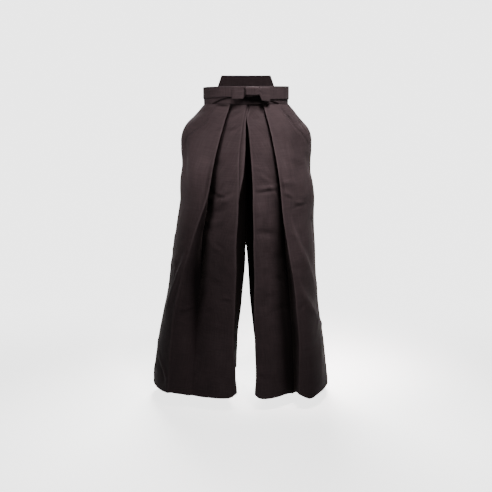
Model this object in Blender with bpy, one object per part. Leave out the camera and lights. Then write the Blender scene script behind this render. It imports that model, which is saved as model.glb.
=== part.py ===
"""Hakama: wide pleated trousers with divided legs, in the form they have when worn, with no wearer.

The frame is in metres with +Z up. The front faces -Y and the wearer's left is +X. The origin is the
middle of the waist, where the wearer holds the garment up. Tables are in millimetres.

Each panel is one sheet of cloth. A fold line, a seam or an edge of the panel is a table of places down
the garment. At each height the lines are joined by smooth faces and rounded creases into one section,
the sections are skinned into a sheet, and Solidify gives the sheet its thickness.
"""

import math

import bmesh
import bpy
import numpy as np

MM = 0.001

# Driving dimensions, in millimetres.
CLOTH = 1.5  # thickness of a panel's wall
SEAM = 0.3  # gap between two pieces at a seam
CREASE = 1.2  # radius of a pressed fold, on the middle of the wall
SHORTEST_ARC = 3.0  # a slight fold is rounder, so that it is at least this long
SLIGHTEST_FOLD = 0.05  # in radians
FRONT_TOP = -28.0  # height of the seam between the front panels and the front waistband
BACK_TOP = -20.0  # height of the seam between the back panels and the back board
SLIT_END = -233.0  # height where the side slits end and the side seams begin
CROTCH = -469.0  # underside of the crotch
HEM = -918.0  # lowest point of the hem
SIDE_SEAM_Y = 15.0
GUSSET_GAP = 0.8  # between the gusset and the panels, whose edges meet it at a slant
CENTRE_SEAM_OUT = CLOTH / 2 + SEAM / 2  # the two panels lie side by side at the centre seam

# The waist is two half ellipses. Each layer that goes round it is a distance out from them.
WAIST_HALF_WIDTH = 125.5
WAIST_FRONT = 97.5  # from the origin to the inner face of the front waistband
WAIST_BACK = 88.0  # from the origin to the inner face of the ties at the back
BAND = 3.0  # thickness of the front waistband, which is several layers sewn together
BAND_TOP = 22.0
BAND_END = 80.0  # degrees from the middle of the front
TIE = 2.2  # thickness of a tie, which is a folded strip
LAYER_GAP = 0.4  # between layers that lie on each other
FRONT_TIE_OUT = BAND + LAYER_GAP + TIE / 2
BACK_TIE_OUT = FRONT_TIE_OUT + TIE + LAYER_GAP

# The back ties end in a flat bow: a bar of folded tie, and a knot round its middle.
KNOT_ANGLE = 7.8  # degrees from the middle of the front, towards the wearer's left
KNOT_WIDTH = 39.0
KNOT_HEIGHT = 28.2
KNOT_MIDDLE = 10.5  # its height above the origin
KNOT_CORNER = 5.0
KNOT_BULGE = 1.5
BAR_REACH_RIGHT = 65.0  # from the knot's middle to the bar's end on the wearer's right
BAR_REACH_LEFT = 57.0
BAR_FOLD = 2.3  # radius of the fold at each end of the bar
BAR_TUCK = 6.0  # how far the bar's two hidden ends reach past the knot's middle
KNOT_BACK_OUT = BACK_TIE_OUT + TIE + LAYER_GAP
BAR_BACK_OUT = KNOT_BACK_OUT + TIE + LAYER_GAP
KNOT_FRONT_OUT = BAR_BACK_OUT + 4 * BAR_FOLD + TIE + LAYER_GAP

BOARD = 5.0  # thickness of the back board with its cloth cover
BOARD_TOP = 62.0
BOARD_HALF_BOTTOM = 106.0
BOARD_HALF_TOP = 78.0
BOARD_MIDDLE_Y = 100.0
BOARD_BEND = 0.0030  # the board bends towards the front by this times the square of the distance out

COTTON = (0.031, 0.026, 0.027, 1.0)
TIE_COTTON = (0.036, 0.030, 0.031, 1.0)

# Lines down the leg on the wearer's right. "out" is the distance outwards from the centre plane, and
# "slope" and "steep" say how the face meets the fold: slope is its rise towards the back for each
# millimetre towards the centre, and steep its angle in degrees as it leaves the valley for the front.
SIDE_RIGHT = [
    # z, out, y
    (-28, 128, -22),
    (-46, 143, -19),
    (-65, 160, -18),
    (-84, 180, -15),
    (-103, 193, -9),
    (-122, 200, -3),
    (-142, 203, 3),
    (-168, 203, 9),
    (-200, 200, 13),
    (-233, 199, 15),
    (-330, 209, 15),
    (-442, 226, 15),
    (-560, 245, 15),
    (-636, 255, 15),
    (-754, 280, 15),
    (-874, 298, 15),
    (-918, 301, 15),
]
OUTER_RIDGE_RIGHT = [
    # z, out, y, slope
    (-28, 48, -92, -0.28),
    (-60, 57, -100, -0.27),
    (-90, 66, -106, -0.26),
    (-149, 82, -114, -0.25),
    (-224, 100, -122, -0.25),
    (-293, 112, -129, -0.30),
    (-369, 136, -133, -0.40),
    (-446, 163, -131, -0.50),
    (-487, 176, -127, -0.60),
    (-560, 198, -120, -0.90),
    (-660, 220, -119, -1.20),
    (-780, 234, -127, -1.40),
    (-918, 242, -141, -1.50),
]
OUTER_VALLEY_RIGHT = [
    # z, out, y, steep
    (-28, 86, -70, 18),
    (-60, 92, -73, 28),
    (-90, 97, -76, 38),
    (-149, 106, -77, 52),
    (-224, 113, -77, 62),
    (-293, 118, -76, 66),
    (-345, 121, -72, 70),
    (-391, 127, -67, 75),
    (-446, 136, -63, 80),
    (-484, 138.5, -66, 80),
    (-546, 143, -82, 76),
    (-610, 147, -106, 66),
    (-673, 151, -127, 54),
    (-737, 158, -143, 42),
    (-800, 161.5, -155, 34),
    (-862, 166, -165, 28),
    (-918, 168, -172, 24),
]
UNDERFOLD_RIGHT = [
    # z, the way it leaves the ridge, the way it sinks into the valley, in degrees from the centre's way
    (-28, 150, 150),
    (-60, 142, 142),
    (-90, 136, 136),
    (-149, 123, 123),
    (-224, 106, 106),
    (-293, 92, 97),
    (-345, 70, 92),
    (-391, 45, 90),
    (-446, 22, 90),
    (-484, 14, 88),
    (-546, 5, 78),
    (-610, -6, 64),
    (-673, -12, 50),
    (-737, -15, 36),
    (-800, -19, 22),
    (-862, -22, 8),
    (-918, -23, -10),
]
INNER_RIDGE_RIGHT = [
    # z, out, y, slope
    (-28, -3, -97.5, 0.0),
    (-89, 8, -110, 0.0),
    (-137, 14, -116, 0.0),
    (-182, 18, -122, 0.0),
    (-224, 20, -127, 0.0),
    (-330, 20.5, -138, 0.02),
    (-444, 26, -149, 0.05),
    (-617, 30, -164, 0.10),
    (-779, 35, -176, 0.20),
    (-850, 35, -179, 0.28),
    (-918, 30, -180, 0.36),
]
CENTRE_VALLEY_RIGHT = [
    # z, out, y
    (-28, 22, -91.2),
    (-89, 30, -102.4),
    (-182, 40, -113),
    (-299, 44, -124),
    (-444, 50, -141),
    (-617, 54, -156),
    (-779, 58, -169),
    (-918, 54, -174),
]
CENTRE_RIDGE_RIGHT = [
    # z, out, y
    (-28, -9, -91),
    (-48, -7, -96),
    (-69, -2, -100),
    (-89, 0, -105),
    (-137, 0, -111),
    (-182, 1.5, -116),
    (-239, 7, -122),
    (-275, 14, -126),
    (-299, 18, -128),
    (-368, 25, -134),
    (-444, 29, -141),
    (-617, 34, -156),
    (-779, 39, -169),
    (-918, 36, -172),
]
RECESS_RIGHT = [
    # z, out, y
    (-28, -3, -87),
    (-98, 3, -88),
    (-164, 5, -80),
    (-254, 10, -75),
    (-469, 15, -75),
    (-617, 24, -75),
    (-918, 42, -80),
]

# Lines down the leg on the wearer's left.
SIDE_LEFT = [
    # z, out, y
    (-28, 130, -22),
    (-46, 146, -19),
    (-65, 161, -18),
    (-84, 178, -15),
    (-103, 194, -9),
    (-122, 202, -3),
    (-142, 205, 3),
    (-168, 205, 9),
    (-200, 202, 13),
    (-233, 201, 15),
    (-271, 207, 15),
    (-330, 214, 15),
    (-442, 219, 15),
    (-560, 223, 15),
    (-636, 230, 15),
    (-754, 247, 15),
    (-874, 261, 15),
    (-918, 266, 15),
]
OUTER_RIDGE_LEFT = [
    # z, out, y, slope
    (-28, 52, -91, -0.28),
    (-75, 67, -105, -0.27),
    (-104, 75, -111, -0.26),
    (-164, 88, -118, -0.25),
    (-224, 99, -125, -0.25),
    (-329, 111, -136, -0.25),
    (-407, 122, -143, -0.22),
    (-483, 134, -150, -0.15),
    (-559, 146, -157, -0.05),
    (-632, 155, -163, 0.05),
    (-708, 163, -168, 0.18),
    (-770, 166, -171, 0.28),
    (-918, 165, -174, 0.42),
]
OUTER_VALLEY_LEFT = [
    # z, out, y, steep
    (-28, 88, -68, 18),
    (-60, 95, -72, 28),
    (-104, 102, -77, 42),
    (-164, 108, -79, 60),
    (-254, 114, -84, 66),
    (-329, 117, -90, 68),
    (-407, 120, -96, 68),
    (-483, 124, -101, 66),
    (-559, 130, -105, 64),
    (-632, 137, -109, 62),
    (-770, 147, -119, 60),
    (-918, 151, -128, 58),
]
INNER_RIDGE_LEFT = [
    # z, out, y, slope
    (-28, 11.4, -93, 0.0),
    (-48, 9.4, -97, 0.0),
    (-66, 4.9, -101, 0.0),
    (-76, 4.9, -103, 0.0),
    (-98, 9, -109, 0.0),
    (-134, 13, -115, 0.0),
    (-194, 18, -122, 0.0),
    (-254, 21, -129, 0.0),
    (-404, 26, -144, 0.02),
    (-617, 27.5, -162, 0.10),
    (-754, 31, -172, 0.20),
    (-850, 32, -177, 0.30),
    (-918, 31, -178, 0.40),
]
RECESS_LEFT = [
    # z, out, y
    (-28, 11, -86),
    (-98, 7, -87),
    (-164, 9, -80),
    (-254, 12, -75),
    (-469, 15, -75),
    (-617, 24, -75),
    (-918, 42, -80),
]

# Front centre seam down to the crotch, then the inner leg seam. Both legs share it.
FRONT_SEAM = [
    # z, out, y
    (-28, CENTRE_SEAM_OUT, -81),
    (-98, CENTRE_SEAM_OUT, -66),
    (-164, CENTRE_SEAM_OUT, -42),
    (-254, CENTRE_SEAM_OUT, -22),
    (-350, CENTRE_SEAM_OUT, -10),
    (-469, CENTRE_SEAM_OUT, -5),
    (-474, 2.2, -5),
    (-485, 2.8, -4),
    (-524, 4.6, 1),
    (-570, 7.6, 10),
    (-620, 11.4, 20),
    (-682, 17, 20),
    (-742, 24, 20),
    (-802, 30.5, 20),
    (-862, 37, 20),
    (-918, 43, 20),
]

# Lines down the back of either leg. Here slope and steep count towards the front.
BACK_SLIT = [
    # z, out, y
    (-20, 106, 64),
    (-60, 124, 62),
    (-103, 149, 55),
    (-142, 171, 43),
    (-168, 183, 34),
    (-200, 194, 23),
    (-233, 199, 15),
]
BACK_RIDGE = [
    # z, out, y, slope
    (-20, 38, 95.5, -0.12),
    (-100, 46, 115, -0.15),
    (-200, 55, 130, -0.18),
    (-300, 62, 136, -0.15),
    (-450, 72, 142, -0.10),
    (-600, 80, 149, -0.05),
    (-750, 88, 158, 0.0),
    (-918, 96, 170, 0.1),
]
BACK_VALLEY = [
    # z, out, y, steep
    (-20, 72, 80, 12),
    (-100, 82, 93, 17),
    (-200, 92, 101, 22),
    (-300, 99, 105, 25),
    (-450, 108, 110, 27),
    (-600, 116, 117, 27),
    (-750, 124, 127, 27),
    (-918, 132, 139, 27),
]
BACK_CENTRE_RIDGE = [
    # z, out, y, slope
    (-20, 2.4, 93.5, 0.0),
    (-100, 2.8, 113, 0.0),
    (-200, 3.6, 127, 0.0),
    (-300, 6, 134, 0.0),
    (-380, 11, 138, 0.0),
    (-450, 16, 141, 0.02),
    (-600, 24, 148, 0.08),
    (-750, 31, 156, 0.15),
    (-918, 36, 166, 0.3),
]
BACK_RECESS = [
    # z, out, y
    (-20, 5, 86),
    (-100, 6, 100),
    (-200, 7, 103),
    (-300, 8, 100),
    (-469, 11, 95),
    (-617, 22, 95),
    (-918, 44, 100),
]
BACK_SEAM = [
    # z, out, y
    (-20, CENTRE_SEAM_OUT, 79),
    (-100, CENTRE_SEAM_OUT, 86),
    (-200, CENTRE_SEAM_OUT, 82),
    (-300, CENTRE_SEAM_OUT, 70),
    (-400, CENTRE_SEAM_OUT, 53),
    (-469, CENTRE_SEAM_OUT, 45),
    (-474, 2.2, 45),
    (-485, 2.8, 43),
    (-524, 4.6, 37),
    (-570, 7.6, 28.5),
    (-620, 11.4, 20),
    (-682, 17, 20),
    (-742, 24, 20),
    (-802, 30.5, 20),
    (-862, 37, 20),
    (-918, 43, 20),
]

# The height of each layer's two edges round the waist. Angles are in degrees from the middle of the
# front, and grow towards the wearer's left.
FRONT_TIE_EDGES = [
    # angle, low, high
    (-180, -14, 20),
    (-115, -19, 14),
    (-85, -27.6, 8),
    (-62, -27.6, 8),
    (-49, -24, 8),
    (-34, -13, 12),
    (-20, -7, 14),
    (0, -5, 16),
    (20, -8, 15),
    (38, -19, 12),
    (58, -27.6, 9),
    (85, -27.6, 9),
    (120, -19, 14),
    (180, -14, 20),
]
RIGHT_TIE_EDGES = [
    # angle, low, high
    (-144, -17, 16),
    (-110, -13, 21),
    (-75, -11, 24),
    (-49, -8.5, 25.5),
    (-20, -6, 26),
    (8.2, -6, 26),
]
LEFT_TIE_EDGES = [
    # angle, low, high
    (8.8, -11, 26),
    (33, -13.5, 27),
    (75, -13.5, 27),
    (110, -14, 22),
    (144, -17, 16),
]
BAR_EDGES = [
    # distance from the knot's middle, low, high
    (-65, -12.5, 25.5),
    (-30, -12, 25.2),
    (-25, -5, 22.5),
    (-20, 1.7, 19.3),
    (0, 1.7, 19.3),
    (20, 1.7, 19.3),
    (25, -7, 22),
    (30, -17, 23),
    (57, -20, 22.5),
]
BAND_COLUMNS = 33
FRONT_TIE_COLUMNS = 56
BACK_TIE_COLUMNS = 35
BOARD_COLUMNS = 15

# Heights of the sections.
FRONT_ROWS = [-28, -46, -65, -84, -103, -122, -142, -168, -200, -233, -285, -345, -407, -469,
              -474, -520, -570, -620, -690, -760, -830, -885, -918]
BACK_ROWS = [-20, -40, -60, -84, -110, -142, -168, -200, -233, -285, -345, -407, -469,
             -474, -520, -570, -620, -690, -760, -840, -918]

GUSSET_ROWS = [-608, -580, -550, -520, -496, -474]

# Quads along each kind of stretch of a section.
FACE_QUADS = 9
INNER_FACE_QUADS = 7
UNDER_QUADS = 2
DEEP_UNDER_QUADS = 5  # on the front of the wearer's right leg, where it shows
CREASE_QUADS = 3
RECESS_QUADS = 6
DEEP_INNER_FULLNESS = 0.5

RIDGE, VALLEY = 1, -1


def clear_scene():
    for obj in list(bpy.data.objects):
        bpy.data.objects.remove(obj)


def cloth_material(name, colour, roughness):
    material = bpy.data.materials.new(name)
    material.use_nodes = True
    shader = material.node_tree.nodes["Principled BSDF"]
    shader.inputs["Base Color"].default_value = colour
    shader.inputs["Roughness"].default_value = roughness
    shader.inputs["Metallic"].default_value = 0.0
    return material


def steady_slopes(x, y):
    """Slopes of a smooth curve through points that never overshoots them."""
    step = np.diff(y) / np.diff(x)
    slopes = np.empty(len(x))
    slopes[0], slopes[-1] = step[0], step[-1]
    before, after = step[:-1], step[1:]
    same_way = before * after > 0
    slopes[1:-1] = np.where(same_way, 2 * before * after / np.where(same_way, before + after, 1), 0)
    return slopes


def place_on(table, z):
    """A table's row at z, a value of its first column, without that column."""
    rows = np.array(table, float)
    if rows[0, 0] > rows[-1, 0]:
        rows = rows[::-1]
    heights = rows[:, 0]
    z = float(np.clip(z, heights[0], heights[-1]))
    k = int(np.clip(np.searchsorted(heights, z) - 1, 0, len(heights) - 2))
    span = heights[k + 1] - heights[k]
    t = (z - heights[k]) / span
    place = []
    for column in rows[:, 1:].T:
        slopes = steady_slopes(heights, column)
        place.append(
            (2 * t**3 - 3 * t**2 + 1) * column[k]
            + (t**3 - 2 * t**2 + t) * span * slopes[k]
            + (3 * t**2 - 2 * t**3) * column[k + 1]
            + (t**3 - t**2) * span * slopes[k + 1]
        )
    return np.array(place)


def turned(vector, angle):
    c, s = math.cos(angle), math.sin(angle)
    return np.array([c * vector[0] - s * vector[1], s * vector[0] + c * vector[1]])


def unit(vector):
    return np.array(vector, float) / np.linalg.norm(vector)


def crease(tip, arriving, leaving, turn, quads):
    """Points round a pressed fold whose outermost point is tip. turn is RIDGE or VALLEY."""
    swing = turn * (math.atan2(leaving[1], leaving[0]) - math.atan2(arriving[1], arriving[0]))
    swing %= 2 * math.pi
    if swing > 1.5 * math.pi or swing < SLIGHTEST_FOLD:
        swing = SLIGHTEST_FOLD
    start = turned(arriving, -turn * math.pi / 2) * max(CREASE, SHORTEST_ARC / swing)
    centre = tip - turned(start, turn * swing / 2)
    return [centre + turned(start, turn * swing * k / quads) for k in range(quads + 1)]


def bezier(start, leaving, arriving, end, quads):
    points = []
    for k in range(quads + 1):
        t = k / quads
        points.append(
            (1 - t) ** 3 * start
            + 3 * (1 - t) ** 2 * t * (start + leaving)
            + 3 * (1 - t) * t**2 * (end - arriving)
            + t**3 * end
        )
    return points


class Face:
    """A smooth stretch between two lines. start_way and end_way are its directions there, if they matter."""

    def __init__(self, quads, start_way=None, end_way=None, fullness=0.38, quarter_round=False):
        self.quads = quads
        self.start_way = start_way
        self.end_way = end_way
        self.fullness = fullness
        self.quarter_round = quarter_round

    def handles(self, start, end):
        chord = end - start
        if self.quarter_round:
            return (
                unit(self.start_way) * abs(chord[1]) * self.fullness,
                unit(self.end_way) * abs(chord[0]) * self.fullness,
            )
        reach = np.linalg.norm(chord) * self.fullness
        leaving = unit(chord if self.start_way is None else self.start_way) * reach
        arriving = unit(chord if self.end_way is None else self.end_way) * reach
        return leaving, arriving


def section(stops, faces):
    """The points of one section. stops are (place, turn), with turn 0 at an end or a plain point."""
    entry = [place for place, _ in stops]
    leave = [place for place, _ in stops]
    rounds = [[place] for place, _ in stops]
    for _ in range(4):
        for k in range(1, len(stops) - 1):
            place, turn = stops[k]
            if turn == 0:
                continue
            arriving = faces[k - 1].handles(leave[k - 1], entry[k])[1]
            leaving = faces[k].handles(leave[k], entry[k + 1])[0]
            rounds[k] = crease(place, unit(arriving), unit(leaving), turn, CREASE_QUADS)
            entry[k], leave[k] = rounds[k][0], rounds[k][-1]
    points = list(rounds[0])
    for k, face in enumerate(faces):
        leaving, arriving = face.handles(leave[k], entry[k + 1])
        points += bezier(leave[k], leaving, arriving, entry[k + 1], face.quads)[1:]
        points += rounds[k + 1][1:]
    return points


def across(place):
    """A place of a line's table as a point whose first number grows towards the centre."""
    return np.array([-place[0], place[1]])


def steep_way(degrees):
    return (math.cos(math.radians(degrees)), -math.sin(math.radians(degrees)))


def through(start, end, quads):
    """Two faces that pass smoothly through a point between them, in the direction from start to end."""
    way = unit(end - start)
    return [
        Face(quads // 2, end_way=way, fullness=0.33),
        Face(quads - quads // 2, start_way=way, fullness=0.33),
    ]


def front_section(z, side, ridge, valley, inner, recess, underfold=None, centre_pleat=None):
    """A front panel's section, from the side to the centre seam, as (towards the centre, y) points."""
    edge = across(place_on(side, z))
    if z <= SLIT_END:
        edge[1] = SIDE_SEAM_Y - SEAM / 2
    ridge_at, valley_at, inner_at = place_on(ridge, z), place_on(valley, z), place_on(inner, z)
    recess_at = across(place_on(recess, z))
    seam = across(place_on(FRONT_SEAM, z))
    if z <= CROTCH:
        seam[1] -= SEAM / 2
    stops = [(edge, 0), (across(ridge_at), RIDGE), (across(valley_at), VALLEY), (across(inner_at), RIDGE)]
    faces = [
        Face(FACE_QUADS, (0.05, -1), (1, ridge_at[2]), 0.55, quarter_round=True),
        Face(UNDER_QUADS),
        Face(INNER_FACE_QUADS, steep_way(valley_at[2]), (1, inner_at[2])),
    ]
    if underfold:
        leaving, sinking = (steep_way(-angle) for angle in place_on(underfold, z))
        faces[1] = Face(DEEP_UNDER_QUADS, leaving, sinking)
        faces[2].fullness = DEEP_INNER_FULLNESS
    if centre_pleat:
        stops += [(across(place_on(centre_pleat[0], z)), VALLEY), (across(place_on(centre_pleat[1], z)), RIDGE)]
        faces += [Face(1), Face(1)]
    faces += through(stops[-1][0], seam, RECESS_QUADS)
    stops += [(recess_at, 0), (seam, 0)]
    return section(stops, faces)


def back_section(z, side):
    """A back panel's section, from the side to the centre seam, with y counted backwards as negative."""
    back = np.array([1, -1])
    edge = across(place_on(BACK_SLIT, z)) if z > SLIT_END else across(place_on(side, z))
    if z <= SLIT_END:
        edge[1] = SIDE_SEAM_Y + SEAM / 2
    ridge_at, valley_at = place_on(BACK_RIDGE, z), place_on(BACK_VALLEY, z)
    inner_at = place_on(BACK_CENTRE_RIDGE, z)
    seam = across(place_on(BACK_SEAM, z))
    if z <= CROTCH:
        seam[1] += SEAM / 2
    recess_at = across(place_on(BACK_RECESS, z)) * back
    inner = across(inner_at) * back
    stops = [
        (edge * back, 0),
        (across(ridge_at) * back, RIDGE),
        (across(valley_at) * back, VALLEY),
        (inner, RIDGE),
        (recess_at, 0),
        (seam * back, 0),
    ]
    faces = [
        Face(FACE_QUADS, (0.05, -1), (1, ridge_at[2]), 0.55, quarter_round=True),
        Face(UNDER_QUADS),
        Face(INNER_FACE_QUADS, steep_way(valley_at[2]), (1, inner_at[2])),
        *through(inner, seam * back, RECESS_QUADS),
    ]
    return [point * back for point in section(stops, faces)]


def panel_grid(rows, hand, section_at):
    """The sheet's points, a row for each height. hand is 1 for the wearer's left and -1 for the right."""
    grid = []
    for k, z in enumerate(rows):
        height = z - SEAM if k == 0 else z
        grid.append([(-hand * p, y, height) for p, y in section_at(z)])
    return np.array(grid) * MM


def sheet_object(name, grid, thickness, material, ring=False):
    """A mesh object with a face between each four neighbouring points, thickened by Solidify."""
    rows, columns = grid.shape[:2]
    mesh = bpy.data.meshes.new(name)
    bm = bmesh.new()
    verts = [[bm.verts.new(point) for point in row] for row in grid]
    last = columns if ring else columns - 1
    for r in range(rows - 1):
        for c in range(last):
            d = (c + 1) % columns
            bm.faces.new((verts[r][c], verts[r][d], verts[r + 1][d], verts[r + 1][c]))
    bm.to_mesh(mesh)
    bm.free()
    mesh.materials.append(material)
    mesh.shade_smooth()
    obj = bpy.data.objects.new(name, mesh)
    bpy.context.scene.collection.objects.link(obj)
    wall = obj.modifiers.new("Wall", "SOLIDIFY")
    wall.thickness = thickness * MM
    wall.offset = 0.0
    wall.use_even_offset = True
    wall.use_quality_normals = True
    return obj


def make_front_panels(cotton):
    def right(z):
        return front_section(z, SIDE_RIGHT, OUTER_RIDGE_RIGHT, OUTER_VALLEY_RIGHT, INNER_RIDGE_RIGHT,
                             RECESS_RIGHT, UNDERFOLD_RIGHT, (CENTRE_VALLEY_RIGHT, CENTRE_RIDGE_RIGHT))

    def left(z):
        return front_section(z, SIDE_LEFT, OUTER_RIDGE_LEFT, OUTER_VALLEY_LEFT, INNER_RIDGE_LEFT,
                             RECESS_LEFT)

    sheet_object("front_panel_right", panel_grid(FRONT_ROWS, -1, right), CLOTH, cotton)
    sheet_object("front_panel_left", panel_grid(FRONT_ROWS, 1, left), CLOTH, cotton)


def make_back_panels(cotton):
    for name, hand, side in (("back_panel_right", -1, SIDE_RIGHT), ("back_panel_left", 1, SIDE_LEFT)):
        grid = panel_grid(BACK_ROWS, hand, lambda z, side=side: back_section(z, side))
        sheet_object(name, grid, CLOTH, cotton)


def make_gusset(cotton):
    """The gusset: a long diamond folded over the crotch, with a point down the inside of each leg."""
    leg = []
    for z in GUSSET_ROWS:
        front, back = place_on(FRONT_SEAM, z), place_on(BACK_SEAM, z)
        leg.append([(front[0], y, z) for y in np.linspace(front[1] + GUSSET_GAP, back[1] - GUSSET_GAP, 4)])
    top_out, top_y, top_z = np.array(leg[-1]).T
    saddle = []
    for angle in (30, 60, 90):
        out, rise = math.cos(math.radians(angle)), math.sin(math.radians(angle))
        saddle.append(list(zip(top_out * out, top_y, top_z + top_out * rise)))
    one_side = np.array(leg + saddle)
    other_side = (one_side * (-1, 1, 1))[-2::-1]
    sheet_object("crotch_gusset", np.concatenate((one_side, other_side)) * MM, CLOTH, cotton)


def waist_place(angle, out):
    """The point on the layer that is this far out from the waist, at an angle in degrees."""
    turn = math.radians(angle)
    depth = WAIST_FRONT if math.cos(turn) > 0 else WAIST_BACK
    return (WAIST_HALF_WIDTH + out) * math.sin(turn), -(depth + out) * math.cos(turn)


def upright_strip(places, edges):
    """Two or more rows of points: the strip's edges over a path of (x, y) places."""
    low, high = np.array(edges, float).T
    plan = np.array(places, float)
    return np.array([np.column_stack((plan, edge)) for edge in (high, (high + low) / 2, low)]) * MM


def round_the_waist(first, last, columns, out, table):
    angles = np.linspace(first, last, columns)
    return upright_strip([waist_place(a, out) for a in angles], [place_on(table, a) for a in angles])


def make_waist(cotton, tie_cotton):
    """The front waistband, the front tie wound once round, and the two back ties that come to the front."""
    band_edges = [(-BAND_END, FRONT_TOP + SEAM / 2, BAND_TOP), (BAND_END, FRONT_TOP + SEAM / 2, BAND_TOP)]
    band = round_the_waist(-BAND_END, BAND_END, BAND_COLUMNS, BAND / 2, band_edges)
    sheet_object("front_waistband", band, BAND, cotton)
    ring = round_the_waist(-180, 180, FRONT_TIE_COLUMNS + 1, FRONT_TIE_OUT, FRONT_TIE_EDGES)[:, :-1]
    sheet_object("front_tie", ring, TIE, tie_cotton, ring=True)
    for name, edges in (("back_tie_right", RIGHT_TIE_EDGES), ("back_tie_left", LEFT_TIE_EDGES)):
        wrap = round_the_waist(edges[0][0], edges[-1][0], BACK_TIE_COLUMNS, BACK_TIE_OUT, edges)
        sheet_object(name, wrap, TIE, tie_cotton)


def bow_place(along, out):
    """The point on a layer of the bow, at a distance along it from the knot's middle."""
    return waist_place(KNOT_ANGLE + math.degrees(along / (WAIST_HALF_WIDTH + KNOT_FRONT_OUT)), out)


def half_turn(along, out, way, steps=6):
    """The bar's fold round a centre, from its back layer to its front one. way is the side it is on."""
    turns = [math.pi * k / steps for k in range(steps + 1)]
    return [(along + way * BAR_FOLD * math.sin(t), out - BAR_FOLD * math.cos(t)) for t in turns]


def make_bow(tie_cotton):
    right_end, left_end = -BAR_REACH_RIGHT + BAR_FOLD, BAR_REACH_LEFT - BAR_FOLD
    back, middle, front = (BAR_BACK_OUT + 2 * BAR_FOLD * k for k in range(3))
    path = [(along, back) for along in np.linspace(BAR_TUCK, right_end, 12)[:-1]]
    path += half_turn(right_end, (back + middle) / 2, -1)
    path += [(along, middle) for along in np.linspace(right_end, left_end, 20)[1:-1]]
    path += half_turn(left_end, (middle + front) / 2, 1)
    path += [(along, front) for along in np.linspace(left_end, -BAR_TUCK, 10)[1:]]
    places = [bow_place(along, out) for along, out in path]
    edges = [place_on(BAR_EDGES, along) for along, _ in path]
    sheet_object("bow_bar", upright_strip(places, edges), TIE, tie_cotton)

    outline = rounded_box(KNOT_BACK_OUT, KNOT_FRONT_OUT, KNOT_HEIGHT - TIE, KNOT_CORNER)
    rows = []
    for share in (-1, -0.55, 0, 0.55, 1):
        crown = KNOT_BULGE * (1 - share**2)
        row = []
        for out, height in outline:
            outer = (out - KNOT_BACK_OUT) / (KNOT_FRONT_OUT - KNOT_BACK_OUT)
            x, y = bow_place(share * KNOT_WIDTH / 2, out + crown * outer)
            row.append((x, y, KNOT_MIDDLE + height * (1 + crown / KNOT_HEIGHT)))
        rows.append(row)
    sheet_object("bow_knot", np.array(rows) * MM, TIE, tie_cotton, ring=True)


def rounded_box(left, right, height, corner, steps=4):
    """Points round a box with round corners, centred on height 0."""
    points = []
    for quarter, (x, z) in enumerate(((right, 1), (left, 1), (left, -1), (right, -1))):
        inward = corner if x == left else -corner
        for k in range(steps + 1):
            turn = math.pi / 2 * (quarter + k / steps)
            points.append((x + inward + corner * math.cos(turn),
                           z * (height / 2 - corner) + corner * math.sin(turn)))
    return points


def make_back_board(cotton):
    """The stiff board that stands above the back panels, bent a little round the back."""
    rows = []
    for z, half_width in ((BOARD_TOP, BOARD_HALF_TOP), (BACK_TOP + SEAM / 2, BOARD_HALF_BOTTOM)):
        outs = np.linspace(-half_width, half_width, BOARD_COLUMNS)
        rows.append([(x, BOARD_MIDDLE_Y - BOARD_BEND * x**2, z) for x in outs])
    board = sheet_object("back_board", np.array(rows) * MM, BOARD, cotton)
    edge = board.modifiers.new("Edge", "BEVEL")
    edge.width = 1.2 * MM
    edge.segments = 2


def main():
    clear_scene()
    cotton = cloth_material("black_cotton", COTTON, 0.85)
    tie_cotton = cloth_material("black_tie_cotton", TIE_COTTON, 0.8)
    make_front_panels(cotton)
    make_back_panels(cotton)
    make_gusset(cotton)
    make_waist(cotton, tie_cotton)
    make_bow(tie_cotton)
    make_back_board(cotton)


main()
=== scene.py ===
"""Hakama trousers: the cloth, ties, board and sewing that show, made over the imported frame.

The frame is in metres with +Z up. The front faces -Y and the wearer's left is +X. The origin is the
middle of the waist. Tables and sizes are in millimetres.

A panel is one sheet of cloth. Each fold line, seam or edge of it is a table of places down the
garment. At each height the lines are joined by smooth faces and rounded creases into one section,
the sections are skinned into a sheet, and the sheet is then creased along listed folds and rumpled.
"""

import logging
import math
from collections.abc import Callable, Sequence
from dataclasses import dataclass, field
from enum import Enum
from functools import partial

import bpy
import numpy as np
from bpy.types import Material, Mesh, Node, NodeTree, Object
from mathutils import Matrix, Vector

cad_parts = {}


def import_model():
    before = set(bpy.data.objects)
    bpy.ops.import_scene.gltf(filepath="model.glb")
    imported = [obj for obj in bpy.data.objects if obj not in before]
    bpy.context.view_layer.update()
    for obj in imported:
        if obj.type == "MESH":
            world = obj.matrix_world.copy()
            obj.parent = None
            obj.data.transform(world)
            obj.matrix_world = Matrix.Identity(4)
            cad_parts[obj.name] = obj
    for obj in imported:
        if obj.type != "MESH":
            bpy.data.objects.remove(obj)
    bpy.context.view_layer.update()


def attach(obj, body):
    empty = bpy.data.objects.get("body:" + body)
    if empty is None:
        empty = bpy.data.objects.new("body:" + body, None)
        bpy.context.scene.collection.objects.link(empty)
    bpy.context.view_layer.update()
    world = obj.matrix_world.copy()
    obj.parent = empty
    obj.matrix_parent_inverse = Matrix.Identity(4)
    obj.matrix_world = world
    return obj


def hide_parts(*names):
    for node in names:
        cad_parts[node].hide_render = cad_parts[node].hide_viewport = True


log = logging.getLogger("hakama")

Array = np.ndarray
Pair = tuple[Array, Array]
Table = Sequence[tuple[float, ...]]
Way = tuple[float, float]
Relief = Callable[[Array, Array], Array]  # of (distance along a strip, share up it)

MM = 0.001
BODY = "root"

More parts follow.
